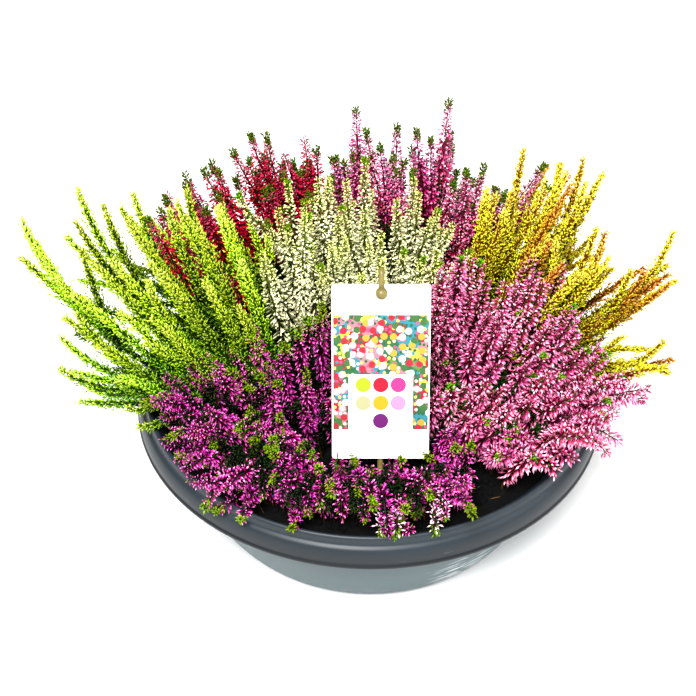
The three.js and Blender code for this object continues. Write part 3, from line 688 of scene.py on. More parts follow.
class Shoot:
    """Puts leaves and florets along a path, into its spray's heap; its draw shifts their colours."""

    def __init__(self, heap, path, rng, draw=None):
        self.heap, self.path, self.length, self.rng = heap, path, path.length, rng
        self.draw = rng.uniform() if draw is None else draw

    def stem(self, radii, foot, swell):
        self.heap.tube(self.path, radii, STEMS, self.draw, 4, marks=(0, foot, foot + swell, 0.8, 1),
                       heights=(0, 0.4, 0.6, 0.8, 1))

    def spiral(self, low, high, per_mm, crowd=1.0):
        """Places from low to high along the path, in mm, in a golden spiral; crowd is how many
        times as close they stand at the top as on average."""
        n = max(0, int((high - low) * per_mm))
        share = (np.arange(n) + self.rng.uniform(0, 1, n)) / max(1, n)
        along = np.clip(low + (high - low) * share ** (1 / crowd), 0, self.length * 0.999)
        turn = GOLDEN * np.arange(n) + self.rng.uniform(0, ANY_TURN) + self.rng.normal(0, 0.3, n)
        centre, tangent, normal, binormal = self.path.frames(along / self.length)
        return along, centre, tangent, swung(normal, binormal, turn)

    def leaves(self, low, high, height, per_mm, length, width, lift, stand=0.6, template=LEAF,
               draws=(0, 1), crowd=1.0):
        along, centre, tangent, outward = self.spiral(low, high, per_mm, crowd)
        n = len(along)
        axis = outward * math.cos(lift) + tangent * math.sin(lift) + self.rng.normal(0, 0.15, (n, 3))
        size = self.rng.uniform(0.75, 1.25, n)
        self.heap.strew(template, centre + outward * stand, axis, length * size, width * size, LEAVES,
                        self.rng.uniform(*draws, n), np.interp(along, [low, high], height), self.draw)

    def tuft(self, size):
        """Green leaves round the end of the shoot, with a few short side tips."""
        end = self.length - 1.5
        self.leaves(end - size, end, (0.75, 1), **TUFT_LEAVES)
        for _ in range(self.rng.integers(1, 4)):
            back = self.rng.uniform(0.35, 1.0) * size
            self.side_tip((end - back) / self.length, min(back + 1.5, self.rng.uniform(3.5, 7)))

    def side_tip(self, share, length):
        """A short straight leafy twig."""
        centre, tangent, normal, binormal = (v[0] for v in self.path.frames(np.array([share])))
        turn = self.rng.uniform(0, 2 * math.pi)
        way = unit(tangent * 0.75 + (normal * math.cos(turn) + binormal * math.sin(turn)) * 0.25)
        n = int(length * 2.6)
        along, spin = (np.arange(n) + 0.5) / n, GOLDEN * np.arange(n)
        side = unit(np.cross(way, normal + 0.01))
        outward = swung(side, np.cross(way, side), spin)
        self.heap.strew(GRAIN, centre + way * col(along * length) + outward * 0.3, outward * 0.7 + way * 0.8,
                        2.3 * (1 - 0.3 * along), 1.1, LEAVES, self.rng.uniform(0, 1, n),
                        np.interp(along, [0, 1], [0.7, 1]), self.draw)

    def bloom(self, style, is_leader):
        """Leaves up to the bloom, the bloom's florets, and on some shoots a green tuft."""
        rng, length, end, core = self.rng, self.length, self.length, style["core"]
        low = max(length * (0.3 if is_leader else 0.12), length - style["bloom"] * rng.uniform(0.85, 1.15))
        stem = LEADER_STEM if is_leader else SIDE_STEM
        self.stem((stem, 0.8 * stem, core, 0.7 * core, 0.3), low / length, 0.12)
        if rng.uniform() < style["tuft_share"]:
            size = style["tuft"] * rng.uniform(0.6, 1.3)
            self.tuft(size)
            end = length - 0.65 * size
        self.leaves(BARE_UP_TO + 3 if is_leader else 2, low + 6, (0.0, 0.45), **FOOT_LEAVES)
        along, centre, tangent, outward = self.spiral(low, end, style["per_mm"], style["crowd"])
        n = len(along)
        if not n:
            return
        share = (along - low) / (end - low)
        # Buds are full from a little above the bloom's foot and grow small towards its tip.
        slimming = (1 - style["slim"]) * smooth(style["full"], 1, share)
        size = (0.7 + 0.3 * smooth(0, 0.15, share)) * (1 - slimming)
        size *= rng.uniform(0.8, 1.2, n)
        lift = np.interp(share ** 2, [0, 1], style["lift"]) + rng.normal(0, 0.26, n)
        axis = swung(outward, tangent, lift) + rng.normal(0, 0.16, (n, 3))
        stalk = style["stalk"] * size * rng.uniform(0.4, 1.1, n)
        bud_length, bud_width = style["bud"]
        self.heap.strew(style["template"], centre + outward * col(stalk), axis, bud_length * size,
                        bud_width * (0.4 + 0.6 * size), FLORETS, rng.uniform(0, 1, n), share,
                        self.draw, sag=0.2)
        self.leaves(low, end, (0.4, 0.75), **BLOOM_LEAVES)

    def foliage(self, longest, is_leader):
        """Short upswept side twigs set with small leaves, drawn out to a fine tip."""
        rng, length = self.rng, self.length
        low = BARE_UP_TO + 4 if is_leader else 3
        self.stem((LEADER_STEM if is_leader else SIDE_STEM, 0.8, 1.9, 1.5, 0.3), low / length, 0.15)
        twigs = self.spiral(low, length - 2.0, TWIGS_PER_MM)
        kept = rng.uniform(0, 1, len(twigs[0])) < np.interp(length - twigs[0], [50, 90], [1, 0.6])
        along, centre, tangent, outward = (a[kept] for a in twigs)
        n = len(along)
        from_tip = length - along
        reach = longest * np.minimum(1, 0.38 + from_tip / 52) * np.clip(0.55 + along / 60, 0, 1)
        reach *= rng.uniform(0.7, 1.2, n)
        lean = np.interp(from_tip, [0, 40], [1.3, 1.14]) + rng.normal(0, 0.06, n)
        way = unit(swung(outward, tangent, lean))
        # The leaves of all twigs at once: which twig each is on, and its order and part along it.
        count = np.maximum(2, (reach / TWIG_LEAF_GAP).astype(int))
        which = np.repeat(np.arange(n), count)
        m = len(which)
        order = np.arange(m) - np.repeat(np.cumsum(count) - count, count)
        part = (order + rng.uniform(0, 1, m)) / count[which]
        far = part * reach[which]
        across = unit(np.cross(way, tangent + 0.02))[which]
        spin = GOLDEN * order + rng.uniform(0, ANY_TURN, n)[which]
        way = way[which]
        out = swung(across, np.cross(way, across), spin)
        size = (1 - 0.3 * part) * rng.uniform(0.8, 1.25, m)
        low_shoot_shade = np.interp(self.path.at(1.0)[2], [95, 165], [0.55, 1.0])  # low shoots are painted darker, as shade, and stay greener
        height = low_shoot_shade * np.clip((along[which] + far) / length, 0, 1)
        # A leaf's draw rises from its twig's foot to the twig's end, so leaves deep in the plume are painted
        # darker: painted shade.
        draw = np.clip(0.12 + 0.75 * part + rng.normal(0, 0.12, m), 0, 1)
        self.heap.strew(LEAF, centre[which] + way * col(far), way + out * 0.55, TWIG_LEAF_LENGTH * size,
                        TWIG_LEAF_WIDTH * size, LEAVES, draw, height, self.draw)
        self.leaves(low, length, (low / length, 1), **TWIG_LEAVES)

    def low_twig(self, thick, low, brightest):
        """A leafy twig whose leaves are painted dark, as shade low among the plants."""
        self.heap.tube(self.path, (thick, 0.25), STEMS, self.draw)
        self.leaves(low, self.length, (0.0, brightest), **LOW_LEAVES)


# ---------- where shoots stand
SEEDS = dict(carpet=31, low=32, edge=33, stands=34, tips=700, sprays=4100)
# For each colour: the share of the carpet's places that are taken, the lowest and highest share
# of the leader's height, and how much further apart the tips stand than the roots.
CARPET = dict(lime=(0.24, 0.62, 0.86, 1.0), red=(0.85, 0.66, 0.9, 1.05), pink=(0.58, 0.6, 0.84, 1.05),
              white=(0.5, 0.72, 0.96, 1.2), gold=(0.56, 0.66, 0.97, 1.0), blush=(0.5, 0.7, 0.96, 1.2),
              purple=(0.56, 0.66, 0.98, 1.08))
CARPET_STEP, CARPET_R, CARPET_REACH, CARPET_RISE = 8.2, 113, 20, 26
CARPET_FALL, CARPET_LEVEL_TO = 0.005, 8  # the share it falls a mm, from so far off the leader on
CARPET_END_X = -155  # the sprays that lean out beyond this stand alone
LOW_COUNT, EDGE_COUNT, EXTRA_TRIES = 460, 110, 14
EDGE_FROM, EDGE_TO = 200, 292  # degrees
STAND_RINGS, STAND_GAP, STAND_ROOT_R = (121, 113, 105, 97, 92), 12.5, 112
STAND_FROM, STAND_TO = math.radians(-138), math.radians(-64)
STAND_Z, STAND_SLOPE, STAND_LOWER = 94, 0.64, (0, 3, 6, 9)
LABEL_BESIDE, LABEL_OVER, LABEL_BEFORE, SIGHT_BESIDE = 6, 5, 7, 5  # room that the label keeps
UPWARD = dict(red=0.5, pink=0.5, white=0.5, blush=0.5, lime=1.0, gold=1.0, purple=1.2)
# Two open patches of soil at the front, to the label's right and before its left corner: the
# place of each and half its width and depth.
BARE_PATCHES = ((84, -84, 30, 14), (-14, -110, 9, 5))


def colour_of(spray):
    return spray["plant"]["name"].split("_")[0]


def nearest(sprays, place):
    return min(sprays, key=lambda s: np.hypot(*(s["root"] - place)))


def stands_clear(path, room=5.0, below=4.0):
    """Whether a shoot keeps off the soil, the rim and the label, and out of the space before the
    label, so that it can be read from in front and above."""
    start = min(0.8, max(0.25, (STEM_DEPTH + room + 3) / path.length))
    points = path.point(np.linspace(start, 1, 12))
    if room_above_bowl(points).min() < room:
        return False
    local = points - CARD_CENTRE
    across, up, back = np.abs(local[:, 0]), local @ CARD_UP, local @ CARD_BACK
    touching = across < CARD_W / 2 + LABEL_BESIDE
    touching &= (np.abs(up) < CARD_H / 2 + LABEL_OVER) & (np.abs(back) < LABEL_BEFORE)
    ahead = READER - points
    meets = points + ahead * col(-back / (ahead @ CARD_BACK)) - CARD_CENTRE
    hiding = (back < 0) & (np.abs(meets[:, 0]) < CARD_W / 2 + SIGHT_BESIDE)
    hiding &= np.abs(meets @ CARD_UP) < CARD_H / 2 + below
    return not (touching | hiding).any()


def extra_paths(spray, count, rng):
    """More shoots round the leader, in golden-angle directions, where there is room for them."""
    made, tries, turn = [], 0, rng.uniform(0, 2 * math.pi)
    while len(made) < count and tries < EXTRA_TRIES:
        tries += 1
        turn += GOLDEN
        path = side_path(spray["paths"][0], rng.uniform(0.24, 0.5), rng.uniform(0.58, 0.97), turn,
                         rng.uniform(8, 19))
        if stands_clear(path):
            made.append(path)
    return made


def reach_out(spray, tip, rng):
    """A shoot from the spray's leader to a given tip, where it turns upwards."""
    leader, share = spray["paths"][0], rng.uniform(0.2, 0.34)
    start, along = leader.point(share), leader.tangent(share)
    far = np.linalg.norm(tip - start)
    rise = unit(unit(tip - start) + UPWARD[colour_of(spray)] * UP)
    return Path(cubic(start, start + along * far * 0.3, tip - rise * far * 0.35, tip))


def stand_up(tip):
    """A short upright shoot to a given tip, from the soil below it or just inside the rim."""
    out = np.hypot(*tip[:2])
    return leader_path(tip[:2] * min(out - 3, STAND_ROOT_R) / out, tip)


def standing_paths(own, rng):
    """Short upright shoots in rings across the front, lower towards the rim and, before the
    label, low enough to keep it in view."""
    for ring in STAND_RINGS:
        for turn in np.arange(STAND_FROM, STAND_TO, STAND_GAP / ring):
            turn += rng.uniform(-0.4, 0.4) * STAND_GAP / ring
            out = ring + rng.normal(0, 2)
            tip = np.array([out * math.cos(turn), out * math.sin(turn),
                            STAND_Z + STAND_SLOPE * (STAND_RINGS[0] - out) + rng.normal(0, 2)])
            for lower in STAND_LOWER:
                path = stand_up(tip - lower * UP)
                if stands_clear(path, 0.5, 1.0):
                    nearest(own, tip[:2])["stands"].append(path)
                    break


def carpet_paths(sprays, rng):
    """Shoots from all over the soil. Each belongs to the spray whose root is nearest, ends beside
    its leader's tip as its root stands beside the leader's, and is a little lower."""
    cells = int(2 * RIM_R / CARPET_STEP)
    for row, column in np.ndindex(cells, cells):
        root = (np.array([column, row]) + rng.uniform(0, 1, 2)) * CARPET_STEP - RIM_R
        kept, share, nudge = rng.uniform(), rng.uniform(), rng.normal(0, 3, 2)
        spray = nearest(sprays, root)
        density, lowest, highest, gain = CARPET[colour_of(spray)]
        if np.hypot(*root) > CARPET_R or kept > density * (0.5 if spray["plant"].get("stands") else 1):
            continue
        leader_tip = spray["paths"][0].at(1.0)
        if leader_tip[0] < CARPET_END_X:
            continue
        away = root - spray["root"]
        reach = np.hypot(*away)
        away *= min(1, CARPET_REACH / reach)
        soil = soil_height(*root)
        share = lowest + (highest - lowest) * share - CARPET_FALL * max(0, reach - CARPET_LEVEL_TO)
        tip = np.array([*(leader_tip[:2] + away * gain + nudge),
                        max(soil + CARPET_RISE, soil + (leader_tip[2] - soil) * share)])
        path = leader_path(root, tip, spray["plant"].get("carpet_curve", UPRIGHT))
        if stands_clear(path):
            spray["carpet"].append(path)


def low_paths(sprays, rng):
    """Short leafy twigs that cover the soil between the plants."""
    for _ in range(LOW_COUNT):
        root = rng.uniform(-CARPET_R, CARPET_R, 2)
        height, tilt = rng.uniform(20, 40), rng.normal(0, 8, 2)
        if np.hypot(*root) > CARPET_R or bare_ground(*root):
            continue
        path = leader_path(root, np.array([*(root + tilt), soil_height(*root) + height]))
        if stands_clear(path, 3.0):
            nearest(sprays, root)["low"].append(path)


def edge_paths(sprays, rng):
    """Leafy twigs, painted dark as shade, that lean out to the rim along the front, left of the open soil.
    """
    for _ in range(EDGE_COUNT):
        turn = math.radians(rng.uniform(EDGE_FROM, EDGE_TO))
        out = np.array([math.cos(turn), math.sin(turn)])
        root = out * rng.uniform(100, CARPET_R)
        tip = np.array([*(root + out * rng.uniform(4, 13) + rng.normal(0, 3, 2)),
                        soil_height(*root) + rng.uniform(17, 25)])
        nearest(sprays, root)["low"].append(leader_path(root, tip))


def bare_ground(x, y):
    return any(math.hypot((x - at_x) / wide, (y - at_y) / deep) < 1
               for at_x, at_y, wide, deep in BARE_PATCHES)


def photo_paths(plant, own, rng):
    """The shoots whose places come from the photo."""
    for tip in np.array(plant.get("tips", ()), float):
        near = min(own, key=lambda s: np.linalg.norm(s["paths"][0].at(1.0) - tip) + 12 * len(s["extra"]))
        near["extra"].append(reach_out(near, tip, rng))
    for tip in np.array(plant.get("faded", ()), float):
        nearest(own, tip[:2])["faded"].append(stand_up(tip))
    for spear in np.array(plant.get("spears", ()), float):
        root, tip = spear[:2], spear[2:]
        nearest(own, root)["carpet"].append(leader_path(root, tip, LEANING))


def plan_sprays():
    sprays = lay_out_sprays()
    for spray in sprays:
        spray.update(extra=[], carpet=[], low=[], stands=[], faded=[])
    carpet_paths(sprays, np.random.default_rng(SEEDS["carpet"]))
    low_paths(sprays, np.random.default_rng(SEEDS["low"]))
    edge_paths(sprays, np.random.default_rng(SEEDS["edge"]))
    for number, plant in enumerate(PLANTS):
        own = [s for s in sprays if s["plant"] is plant]
        photo_paths(plant, own, np.random.default_rng(SEEDS["tips"] + number))
        if plant.get("stands"):
            standing_paths(own, np.random.default_rng(SEEDS["stands"]))
    return sprays


def dressed(spray, rng):
    """The spray's heap: its shoots, and short leafy twigs that fill its foot."""
    heap, colour, leader = Heap(), colour_of(spray), spray["paths"][0]
    wanted = SHOOTS[colour] - len(spray["paths"]) - len(spray["extra"])
    sides = spray["paths"][1:] + spray["extra"] + extra_paths(spray, wanted, rng)
    for paths, from_soil in (([leader] + spray["carpet"], True), (sides, False)):
        for path in paths:
            shoot = Shoot(heap, path, rng)
            if colour in BLOOM:
                shoot.bloom(BLOOM[colour], from_soil)
            else:
                shoot.foliage(LONG_TWIG[colour] * (1 if from_soil else 0.94), from_soil)
    for key, style, draw in (("stands", STANDING, None), ("faded", FADING, FADED)):
        for path in spray[key]:
            Shoot(heap, path, rng, draw).bloom(style, True)
    for path in spray["low"]:
        Shoot(heap, path, rng).low_twig(0.6, STEM_DEPTH + 3, 0.42)
    for _ in range(3):
        share = rng.uniform(0.14, 0.4)
        path = side_path(leader, share, share + rng.uniform(0.08, 0.22), rng.uniform(0, ANY_TURN),
                         rng.uniform(9, 20))
        if stands_clear(path, 2.0):
            Shoot(heap, path, rng).low_twig(0.5, 2, 0.3)
    return heap


for number, spray in enumerate(plan_sprays()):
    colour = colour_of(spray)
    heap = dressed(spray, np.random.default_rng(SEEDS["sprays"] + number))
    piece = heap.made(spray["name"] + "_visual", MATERIALS[colour])
    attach(piece, "root")
    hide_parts(spray["name"])


# ---------- turned shapes
def rounded(points):
    """Cuts the corners of an open line, keeping its ends."""
    points = np.array(points, float)
    a, b = points[:-1], points[1:]
    cut = np.stack([a * 0.75 + b * 0.25, a * 0.25 + b * 0.75], 1).reshape(-1, 2)
    return np.vstack([points[:1], cut, points[-1:]])


def around(count, rings):
    """Each point on each ring of so many points, with the one after it."""
    for ring in range(rings):
        for s in range(count):
            yield ring * count + s, ring * count + (s + 1) % count


def mesh_of(name, points, faces):
    """A mesh in metres from points in mm."""
    mesh = bpy.data.meshes.new(name)
    mesh.from_pydata((np.array(points) / 1000).tolist(), [], faces)
    return mesh


def turned(name, profile, segments):
    """A closed surface of revolution whose profile starts and ends on the axis."""
    inner = profile[1:-1]
    turn = 2 * math.pi * np.arange(segments) / segments
    walls = np.stack([np.outer(inner[:, 0], np.cos(turn)), np.outer(inner[:, 0], np.sin(turn)),
                      np.repeat(inner[:, 1:], segments, 1)], -1).reshape(-1, 3)
    points = np.vstack([walls, [(0, 0, profile[0][1])], [(0, 0, profile[-1][1])]])
    faces = [(a, b, b + segments, a + segments) for a, b in around(segments, len(inner) - 1)]
    start, end, last = len(walls), len(walls) + 1, len(walls) - segments
    for a, b in around(segments, 1):
        faces += [(b, a, start), (last + a, last + b, end)]
    mesh = mesh_of(name, points, faces)
    mesh.shade_smooth()
    mesh.update()
    return add_object(name, mesh)


# ---------- bowl
OUTSIDE_HEIGHTS = (2, 5, 9, 14, 22, 32, 42, 54, 66, 75)
INSIDE_HEIGHTS = (80, 74, 66, 54, 42, 30, 18, 9)
RIM_OUTLINE = [(125, 75.6), (129, 73.4), (131.6, 70.8), (133.8, 70), (135.4, 70), (136, 70.8),
               (136, 72.4), (135.2, 73), (135.3, 74.4), (135.2, 77), (134.4, 80), (133.2, 82.4),
               (131.9, 83.2), (131.1, 84), (131, 85.4), (130.8, 86.8), (130.2, 88), (129.3, 88.5),
               (128.4, 88.3), (127.4, 87.2), (125.4, 84.6)]
DRAIN_CUT = (-6.0, 0, 6, 12)  # heights on the cutter's axis


def bowl_profile():
    """From under the base up the outside, round the rim and down the hollow to the floor."""
    floor_r = BASE_R - WALL
    return [(0, 0), (60, 0), (BASE_R - 5, 0), (BASE_R - 2, 0.4),
            *((wall_radius(z), z) for z in OUTSIDE_HEIGHTS), *RIM_OUTLINE,
            *((wall_radius(z) - WALL, z) for z in INSIDE_HEIGHTS),
            (floor_r - 1, FLOOR + 0.4), (floor_r - 6, FLOOR), (40, FLOOR), (0, FLOOR)]


def drain(bowl):
    """Cuts the drain holes through the base."""
    drains = Heap()
    for i in range(DRAIN_COUNT):
        turn = 2 * math.pi * i / DRAIN_COUNT
        x, y = DRAIN_RING_R * math.cos(turn), DRAIN_RING_R * math.sin(turn)
        axis = Path(cubic(*[np.array([x, y, z]) for z in DRAIN_CUT]))
        drains.tube(axis, (DRAIN_R, DRAIN_R), slot=0, shoot=0, sides=24)
    cutter = drains.made("drain_cutter", [])
    cut = bowl.modifiers.new("drains", "BOOLEAN")
    cut.object, cut.operation, cut.solver = cutter, "DIFFERENCE", "EXACT"
    bpy.context.view_layer.update()
    bored = bpy.data.meshes.new_from_object(bowl.evaluated_get(bpy.context.evaluated_depsgraph_get()))
    bowl.modifiers.clear()
    bowl.data = bored
    bpy.data.objects.remove(cutter)


def bowl_material():
    n = Nodes("bowl_plastic", rough=0.46, specular=0.34)
    place = n.place()
    cloud, patch = n.noise(place, 9.0, 4.0), n.noise(place, 22.0, 1.0)
    # Fine pale rub marks: thin bands of a stretched noise, only where a wide noise is high.
    stretch = n.node("Mapping", {"Vector": place, "Scale": (60.0, 60.0, 420.0),
                                 "Rotation": (0.4, 0.5, 0.0)}).outputs["Vector"]
    lines = n.noise(stretch, 1.0, 3.0)
    rub = n.times(n.map(lines, 0, 1, 0.66, 0.72), n.map(patch, 0, 1, 0.6, 0.68))
    # One plain scuff, low on the wall at the right of the front.
    away = n.apart(place, (0.052, -0.087, 0.022))
    scuff = n.times(n.map(away, 1.5, 0, 0.006, 0.024), n.map(lines, 0, 1, 0.5, 0.56))
    up = n.node("SeparateXYZ", {"Vector": place}).outputs["Z"]

    def rising(low, high, below, above):
        """One colour below a height in mm, and the other above a second height."""
        return n.mix(n.map(up, 0, 1, low / 1000, high / 1000), below, above)

    # The rim's band is painted darkest at its foot, just above the skirt's edge, and lighter up to 13 mm
    # higher: painted shade on its downward-facing part.
    rim = rising(SKIRT_Z + 1, SKIRT_Z + 13, n.shades(cloud, (7, 11, 14), (11, 16, 20)),
                 n.shades(cloud, (29, 36, 41), (36, 44, 50)))
    # The wall is painted lighter at its foot, up to 50 mm: a painted reflection of the pale floor.
    wall = rising(4, 50, n.shades(cloud, (57, 76, 79), (66, 85, 88)),
                  n.shades(cloud, (44, 61, 64), (53, 70, 74)))
    # One plastic: the rim's band is painted darker than the wall below it, as painted shade on the band and
    # painted floor light on the wall.
    plastic = rising(SKIRT_Z - 6, SKIRT_Z, wall, rim)
    n.tree.links.new(n.map(cloud, 0.38, 0.52), n.shader.inputs["Roughness"])
    n.bump(n.noise(place, 900.0), 0.06, 0.0003)
    worn = n.times(n.math("MAXIMUM", rub, scuff), 0.6)
    return n.colour(n.mix(worn, plastic, linear((190, 196, 198))), (60, 66, 72))


bowl = turned("bowl_visual", rounded(bowl_profile()), 144)
drain(bowl)
bowl.data.materials.clear()
bowl.data.materials.append(bowl_material())
bowl.data.set_sharp_from_angle(angle=math.radians(50))
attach(bowl, "root")
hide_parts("bowl")

# ---------- soil
CLOD, CLOD_COUNT = spindle(4, [(0.4, 0.55)]), 1500
FIBRE, FIBRE_COUNT = spindle(3, [(0.3, 0.5), (0.7, 0.5)]), 420
SWELLS, SETTLED = ((0.05, 2.2), (0.21, 1.2), (0.6, 0.7)), 0.8  # how fine each is, and how high
SOIL_SEED = 77
FIBRE_DARK, FIBRE_LIGHT = (44, 30, 20), (112, 84, 56)


def soil_material():
    n = Nodes("potting_soil", rough=0.95, specular=0.2)
    crumb = n.noise(n.place(), 260.0, 6.0)
    n.bump(crumb, 0.9, 0.0015)
    return n.colour(n.ramp(crumb, [(0.3, (1, 1, 1)), (0.55, (4, 4, 4)), (0.8, (14, 12, 10))]), (16, 13, 11))


def soil_base():
    """The block of soil, with an uneven top."""
    foot = FLOOR + SOIL_GAP
    profile = [(0, foot), (BASE_R - WALL - SOIL_GAP, foot)]
    profile += [(wall_radius(z) - WALL - SOIL_GAP, z) for z in (18, 42, 62, 72, SOIL_Z - 1)]
    profile += [(r, soil_height(r, 0)) for r in (*range(119, 3, -3), 0)]
    base = turned("potting_soil_base", np.array(profile, float), 150)
    for vertex in base.data.vertices:
        if vertex.co.z * 1000 > SOIL_Z - 2:
            place = Vector(vertex.co) * 1000
            swell = sum(noise.noise(place * fine) * high for fine, high in SWELLS)
            vertex.co.z += (swell - SETTLED) / 1000
    return base


def scattered(count, out_to, sunk, rng):
    """Places over the soil, a little sunk in it."""
    spread = np.sqrt(rng.uniform(0, 1, count)) * out_to
    turn = rng.uniform(0, 2 * math.pi, count)
    x, y = spread * np.cos(turn), spread * np.sin(turn)
    return np.c_[x, y, soil_height(x, y) - sunk]


def crumbs_on_soil(rng, materials):
    """Clods, and fibres that lie flatter."""
    heap, places = Heap(), scattered(CLOD_COUNT, out_to=117, sunk=1.6, rng=rng)
    size = rng.gamma(4, 0.55, CLOD_COUNT) + 0.7
    heap.strew(CLOD, places, axis=rng.normal(0, 1, (CLOD_COUNT, 3)) * [1, 1, 0.6] + UP * 0.5,
               length=size * 1.4, width=size * 1.3, slot=0, draw=rng.uniform(0, 1, CLOD_COUNT),
               height=0.5, shoot=0.5)
    places = scattered(FIBRE_COUNT, out_to=114, sunk=0.6, rng=rng)
    heap.strew(FIBRE, places, axis=rng.normal(0, 1, (FIBRE_COUNT, 3)) * [1, 1, 0.25],
               length=rng.uniform(4, 11, FIBRE_COUNT), width=0.6, slot=1,
               draw=rng.uniform(0, 1, FIBRE_COUNT), height=0.5, shoot=0.5)
    return heap.made("potting_soil_crumbs", materials)


earth = soil_material()
fibre = plant_material("soil_fibres", [(0, FIBRE_DARK), (1, FIBRE_DARK)],
                       [(0, FIBRE_LIGHT), (1, FIBRE_LIGHT)], value=(0.5, 1.4))
soil = soil_base()
soil.data.materials.append(earth)
crumbs = crumbs_on_soil(np.random.default_rng(SOIL_SEED), [earth, fibre])
with bpy.context.temp_override(active_object=soil, selected_editable_objects=[soil, crumbs]):
    bpy.ops.object.join()
soil.name = soil.data.name = "potting_soil_visual"
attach(soil, "root")
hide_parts("potting_soil")

# ---------- label
# The panel's layers of dots, from the lowest: how closely they stand, their radius, their shift,
# and their inks, each from a share of the draws on. The lowest layer has no gaps between its dots.
DOT_LAYERS = (
    (0.16, None, (3, 5, 0), ((0, (136, 30, 50)), (0.2, (180, 104, 116)), (0.38, (44, 88, 58)),
                             (0.56, (48, 112, 124)), (0.74, (172, 150, 60)), (0.88, (84, 112, 50)))),
    (0.42, 0.34, (11, 7, 0), ((0, (30, 84, 54)), (0.3, (210, 190, 80)), (0.5, (196, 186, 170)),
                              (0.72, (180, 70, 104)), (0.88, (44, 116, 130)))),
    (0.2, 0.36, (0, 0, 0), ((0, (186, 150, 156)), (0.26, (148, 34, 48)), (0.44, (206, 200, 178)),
                            (0.6, (184, 132, 50)), (0.78, (56, 92, 50)))),
)
# One dot in each plant's colour, in two rows of three and one below, and their size.
INKS = ((140, 168, 30), (156, 16, 40), (178, 46, 110), (150, 148, 112), (196, 136, 26), (196, 120, 152),
        (92, 20, 92))
INK_PLACES = [(x, y) for y in (0.43, 0.325) for x in (0.32, 0.5, 0.68)] + [(0.5, 0.22)]
INK_R, INK_SOFT_R = 4.1, 4.25


def card_print():
    """Bare white at the head, a panel of small flower-coloured dots, and the seven dots below."""
    n = Nodes("label_print", rough=0.32, specular=0.5)
    across, up = n.fact("draw"), n.fact("height")
    place = n.node("CombineXYZ", {"X": n.times(across, CARD_W), "Y": n.times(up, CARD_H)}).outputs[0]

    def inside(value, low, high):
        return n.times(n.math("GREATER_THAN", value, low), n.math("LESS_THAN", value, high))

    for scale, radius, shift, inks in DOT_LAYERS:
        moved = n.node("Mapping", {"Vector": place, "Location": shift}).outputs[0]
        cell = n.node("TexVoronoi", {"Vector": moved, "Scale": scale, "Randomness": 0.8},
                      voronoi_dimensions="2D")
        pick = n.node("SeparateColor", {"Color": cell.outputs["Color"]}).outputs["Red"]
        ink = n.ramp(pick, inks, stepped=True)
        if radius:
            ink = n.mix(n.map(cell.outputs["Distance"], 1, 0, radius, radius + 0.04), panel, ink)
        panel = ink
    # The panel: the full width, from a sixth to a half of the way down, and two side strips.
    band = n.times(inside(up, 0.49, 0.83), inside(across, 0.012, 0.988))
    strips = n.times(inside(up, 0.17, 0.5),
                     n.math("ADD", inside(across, 0.012, 0.17), inside(across, 0.83, 0.988)))
    paper = n.mix(n.math("MAXIMUM", band, strips), linear((250, 250, 247)), panel)
    for ink, (x, y) in zip(INKS, INK_PLACES):
        apart = n.apart(place, (x * CARD_W, y * CARD_H, 0))
        paper = n.mix(n.map(apart, 1, 0, INK_R, INK_SOFT_R), paper, linear(ink))
    return n.colour(paper, (244, 240, 232))


def card_paper():
    n = Nodes("label_paper", rough=0.4, specular=0.4)
    fibres = n.noise(n.place(), 300.0)
    return n.colour(n.shades(fibres, (240, 240, 236), (250, 250, 248)), (247, 247, 244))


def card_outline():
    points = []
    for k, (sx, sy) in enumerate([(1, 1), (-1, 1), (-1, -1), (1, -1)]):
        for step in range(6):
            turn = math.pi / 2 * (k + step / 5)
            points.append((sx * (CARD_W / 2 - CARD_CORNER) + CARD_CORNER * math.cos(turn),
                           sy * (CARD_H / 2 - CARD_CORNER) + CARD_CORNER * math.sin(turn)))
    return np.array(points)


def card_mesh():
    """The card from its printed face to its back, with softened edges, print on the face only."""
    outline = card_outline()
    corners, front, back = len(outline), -CARD_T / 2, CARD_T / 2
    drawn_in = 1 - CARD_EDGE / (CARD_W / 2)
    layers = ((front, drawn_in), (front + CARD_EDGE, 1), (back - CARD_EDGE, 1), (back, drawn_in))
    points = np.vstack([label_point(outline[:, 1] * k, np.full(corners, depth), outline[:, 0] * k)
                        for depth, k in layers])
    faces = [tuple(range(corners))]
    faces += [(a, a + corners, b + corners, b) for a, b in around(corners, len(layers) - 1)]
    faces.append(tuple(range(len(points) - 1, len(points) - 1 - corners, -1)))
    mesh = mesh_of("label_card_visual", points, faces)
    for fact, values in zip(("draw", "height"), (outline / (CARD_W, CARD_H) + 0.5).T):
        values = np.tile(values, len(layers)).astype(np.float32)
        mesh.attributes.new(fact, "FLOAT", "POINT").data.foreach_set("value", values)
    mesh.materials.append(card_print())
    mesh.materials.append(card_paper())
    mesh.polygons.foreach_set("material_index", np.array([0] + [1] * (len(faces) - 1), np.int32))
    mesh.update()
    return mesh


card = add_object("label_card_visual", card_mesh())
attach(card, "root")
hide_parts("label_card")

# ---------- stake
BEND_UP, KNOB_UP = CARD_H / 2 + STAKE_ABOVE - HOOK_R, CARD_H / 2 - KNOB_DROP
BEND_STEPS = 12


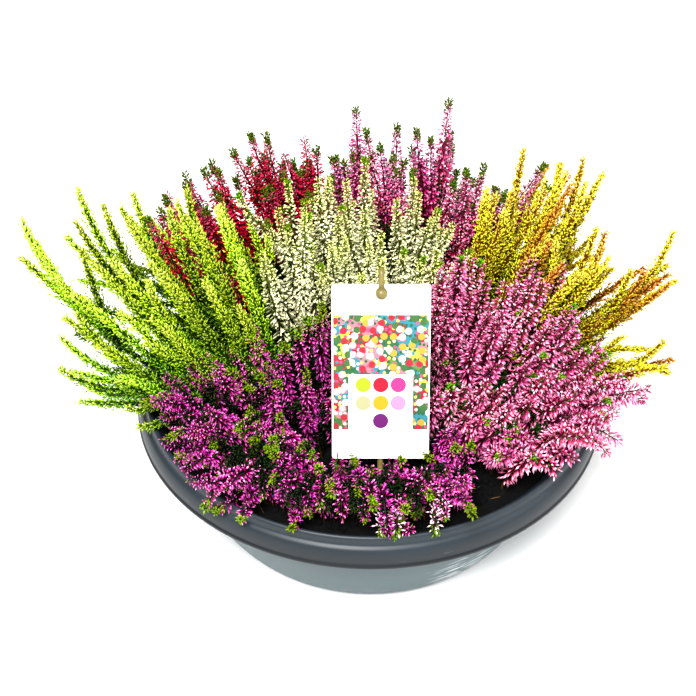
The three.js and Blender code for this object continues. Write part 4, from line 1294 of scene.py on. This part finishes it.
def stake_path():
    """Up out of the soil behind the card, over its top edge and down to the knob before it."""
    behind = label_point(0.0, HOOK_R)
    soil_meets = (soil_height(0, behind[1]) - behind[2]) / CARD_UP[2]
    foot = behind + CARD_UP * (soil_meets - STAKE_DEPTH)
    stops = [foot + (label_point(BEND_UP, HOOK_R) - foot) * t for t in np.linspace(0, 1, 12)]
    for i in range(1, BEND_STEPS + 1):
        turn = math.pi * i / BEND_STEPS
        stops.append(label_point(BEND_UP + HOOK_R * math.sin(turn), HOOK_R * math.cos(turn)))
    stops += [label_point(BEND_UP + (KNOB_UP - BEND_UP) * t, -HOOK_R) for t in (0.33, 0.66, 1)]
    marks = np.linspace(0, 1, len(stops))
    return Path(lambda t: np.stack([np.interp(t, marks, places) for places in np.array(stops).T], -1))


def stake_material():
    n = Nodes("stake_plastic", rough=0.42, specular=0.45)
    grain = n.noise(n.place(), 180.0, 3.0)
    n.bump(grain, 0.15, 0.0004)
    return n.colour(n.shades(grain, (96, 86, 44), (122, 110, 62)), (130, 116, 62))


def knob():
    """A ball, as a spindle with many rings."""
    return spindle(24, [((1 - math.cos(a)) / 2, math.sin(a)) for a in np.linspace(0, math.pi, 16)[1:-1]])


stake = Heap()
stake.tube(stake_path(), (STAKE_R, STAKE_R), slot=0, shoot=0.5, sides=14, step=1.6)
knob_foot = label_point(KNOB_UP, -CARD_T / 2 - CLIP_GAP - KNOB_R) - CARD_UP * KNOB_R
stake.strew(knob(), knob_foot[None], CARD_UP[None], length=2 * KNOB_R, width=KNOB_R, slot=0,
            draw=0.5, height=0.5, shoot=0.5)
peg = stake.made("label_stake_visual", [stake_material()])
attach(peg, "root")
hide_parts("label_stake")

# ---------- floor and light
FLOOR_HALF = 6000
floor_corners = [(-FLOOR_HALF, -FLOOR_HALF, 0), (FLOOR_HALF, -FLOOR_HALF, 0),
                 (FLOOR_HALF, FLOOR_HALF, 0), (-FLOOR_HALF, FLOOR_HALF, 0)]
floor = add_object("floor", mesh_of("floor", floor_corners, [(0, 1, 2, 3)]))
pale = Nodes("floor", rough=0.9, specular=0.1)
pale.shader.inputs["Base Color"].default_value = (0.97, 0.97, 0.97, 1)
floor.data.materials.append(pale.material)

world = bpy.data.worlds.new("studio")
world.use_nodes = True
world.node_tree.nodes["Background"].inputs["Color"].default_value = (1, 1, 1, 1)
world.node_tree.nodes["Background"].inputs["Strength"].default_value = 0.56
bpy.context.scene.world = world


def area_light(name, place, size, power):
    light = bpy.data.lights.new(name, "AREA")
    light.shape, light.size, light.energy = "DISK", size, power
    lamp = add_object(name, light)
    lamp.location = place
    lamp.rotation_euler = (Vector((0, 0, 0.1)) - Vector(place)).to_track_quat("-Z", "Y").to_euler()


area_light("key", (-0.3, -1.1, 1.8), size=1.0, power=92)
area_light("fill", (1.3, -0.4, 1.0), size=1.2, power=10)
bpy.context.scene.view_settings.view_transform = "Standard"
bpy.context.scene.view_settings.look = "Medium High Contrast"
bpy.context.scene.view_settings.exposure = -0.05
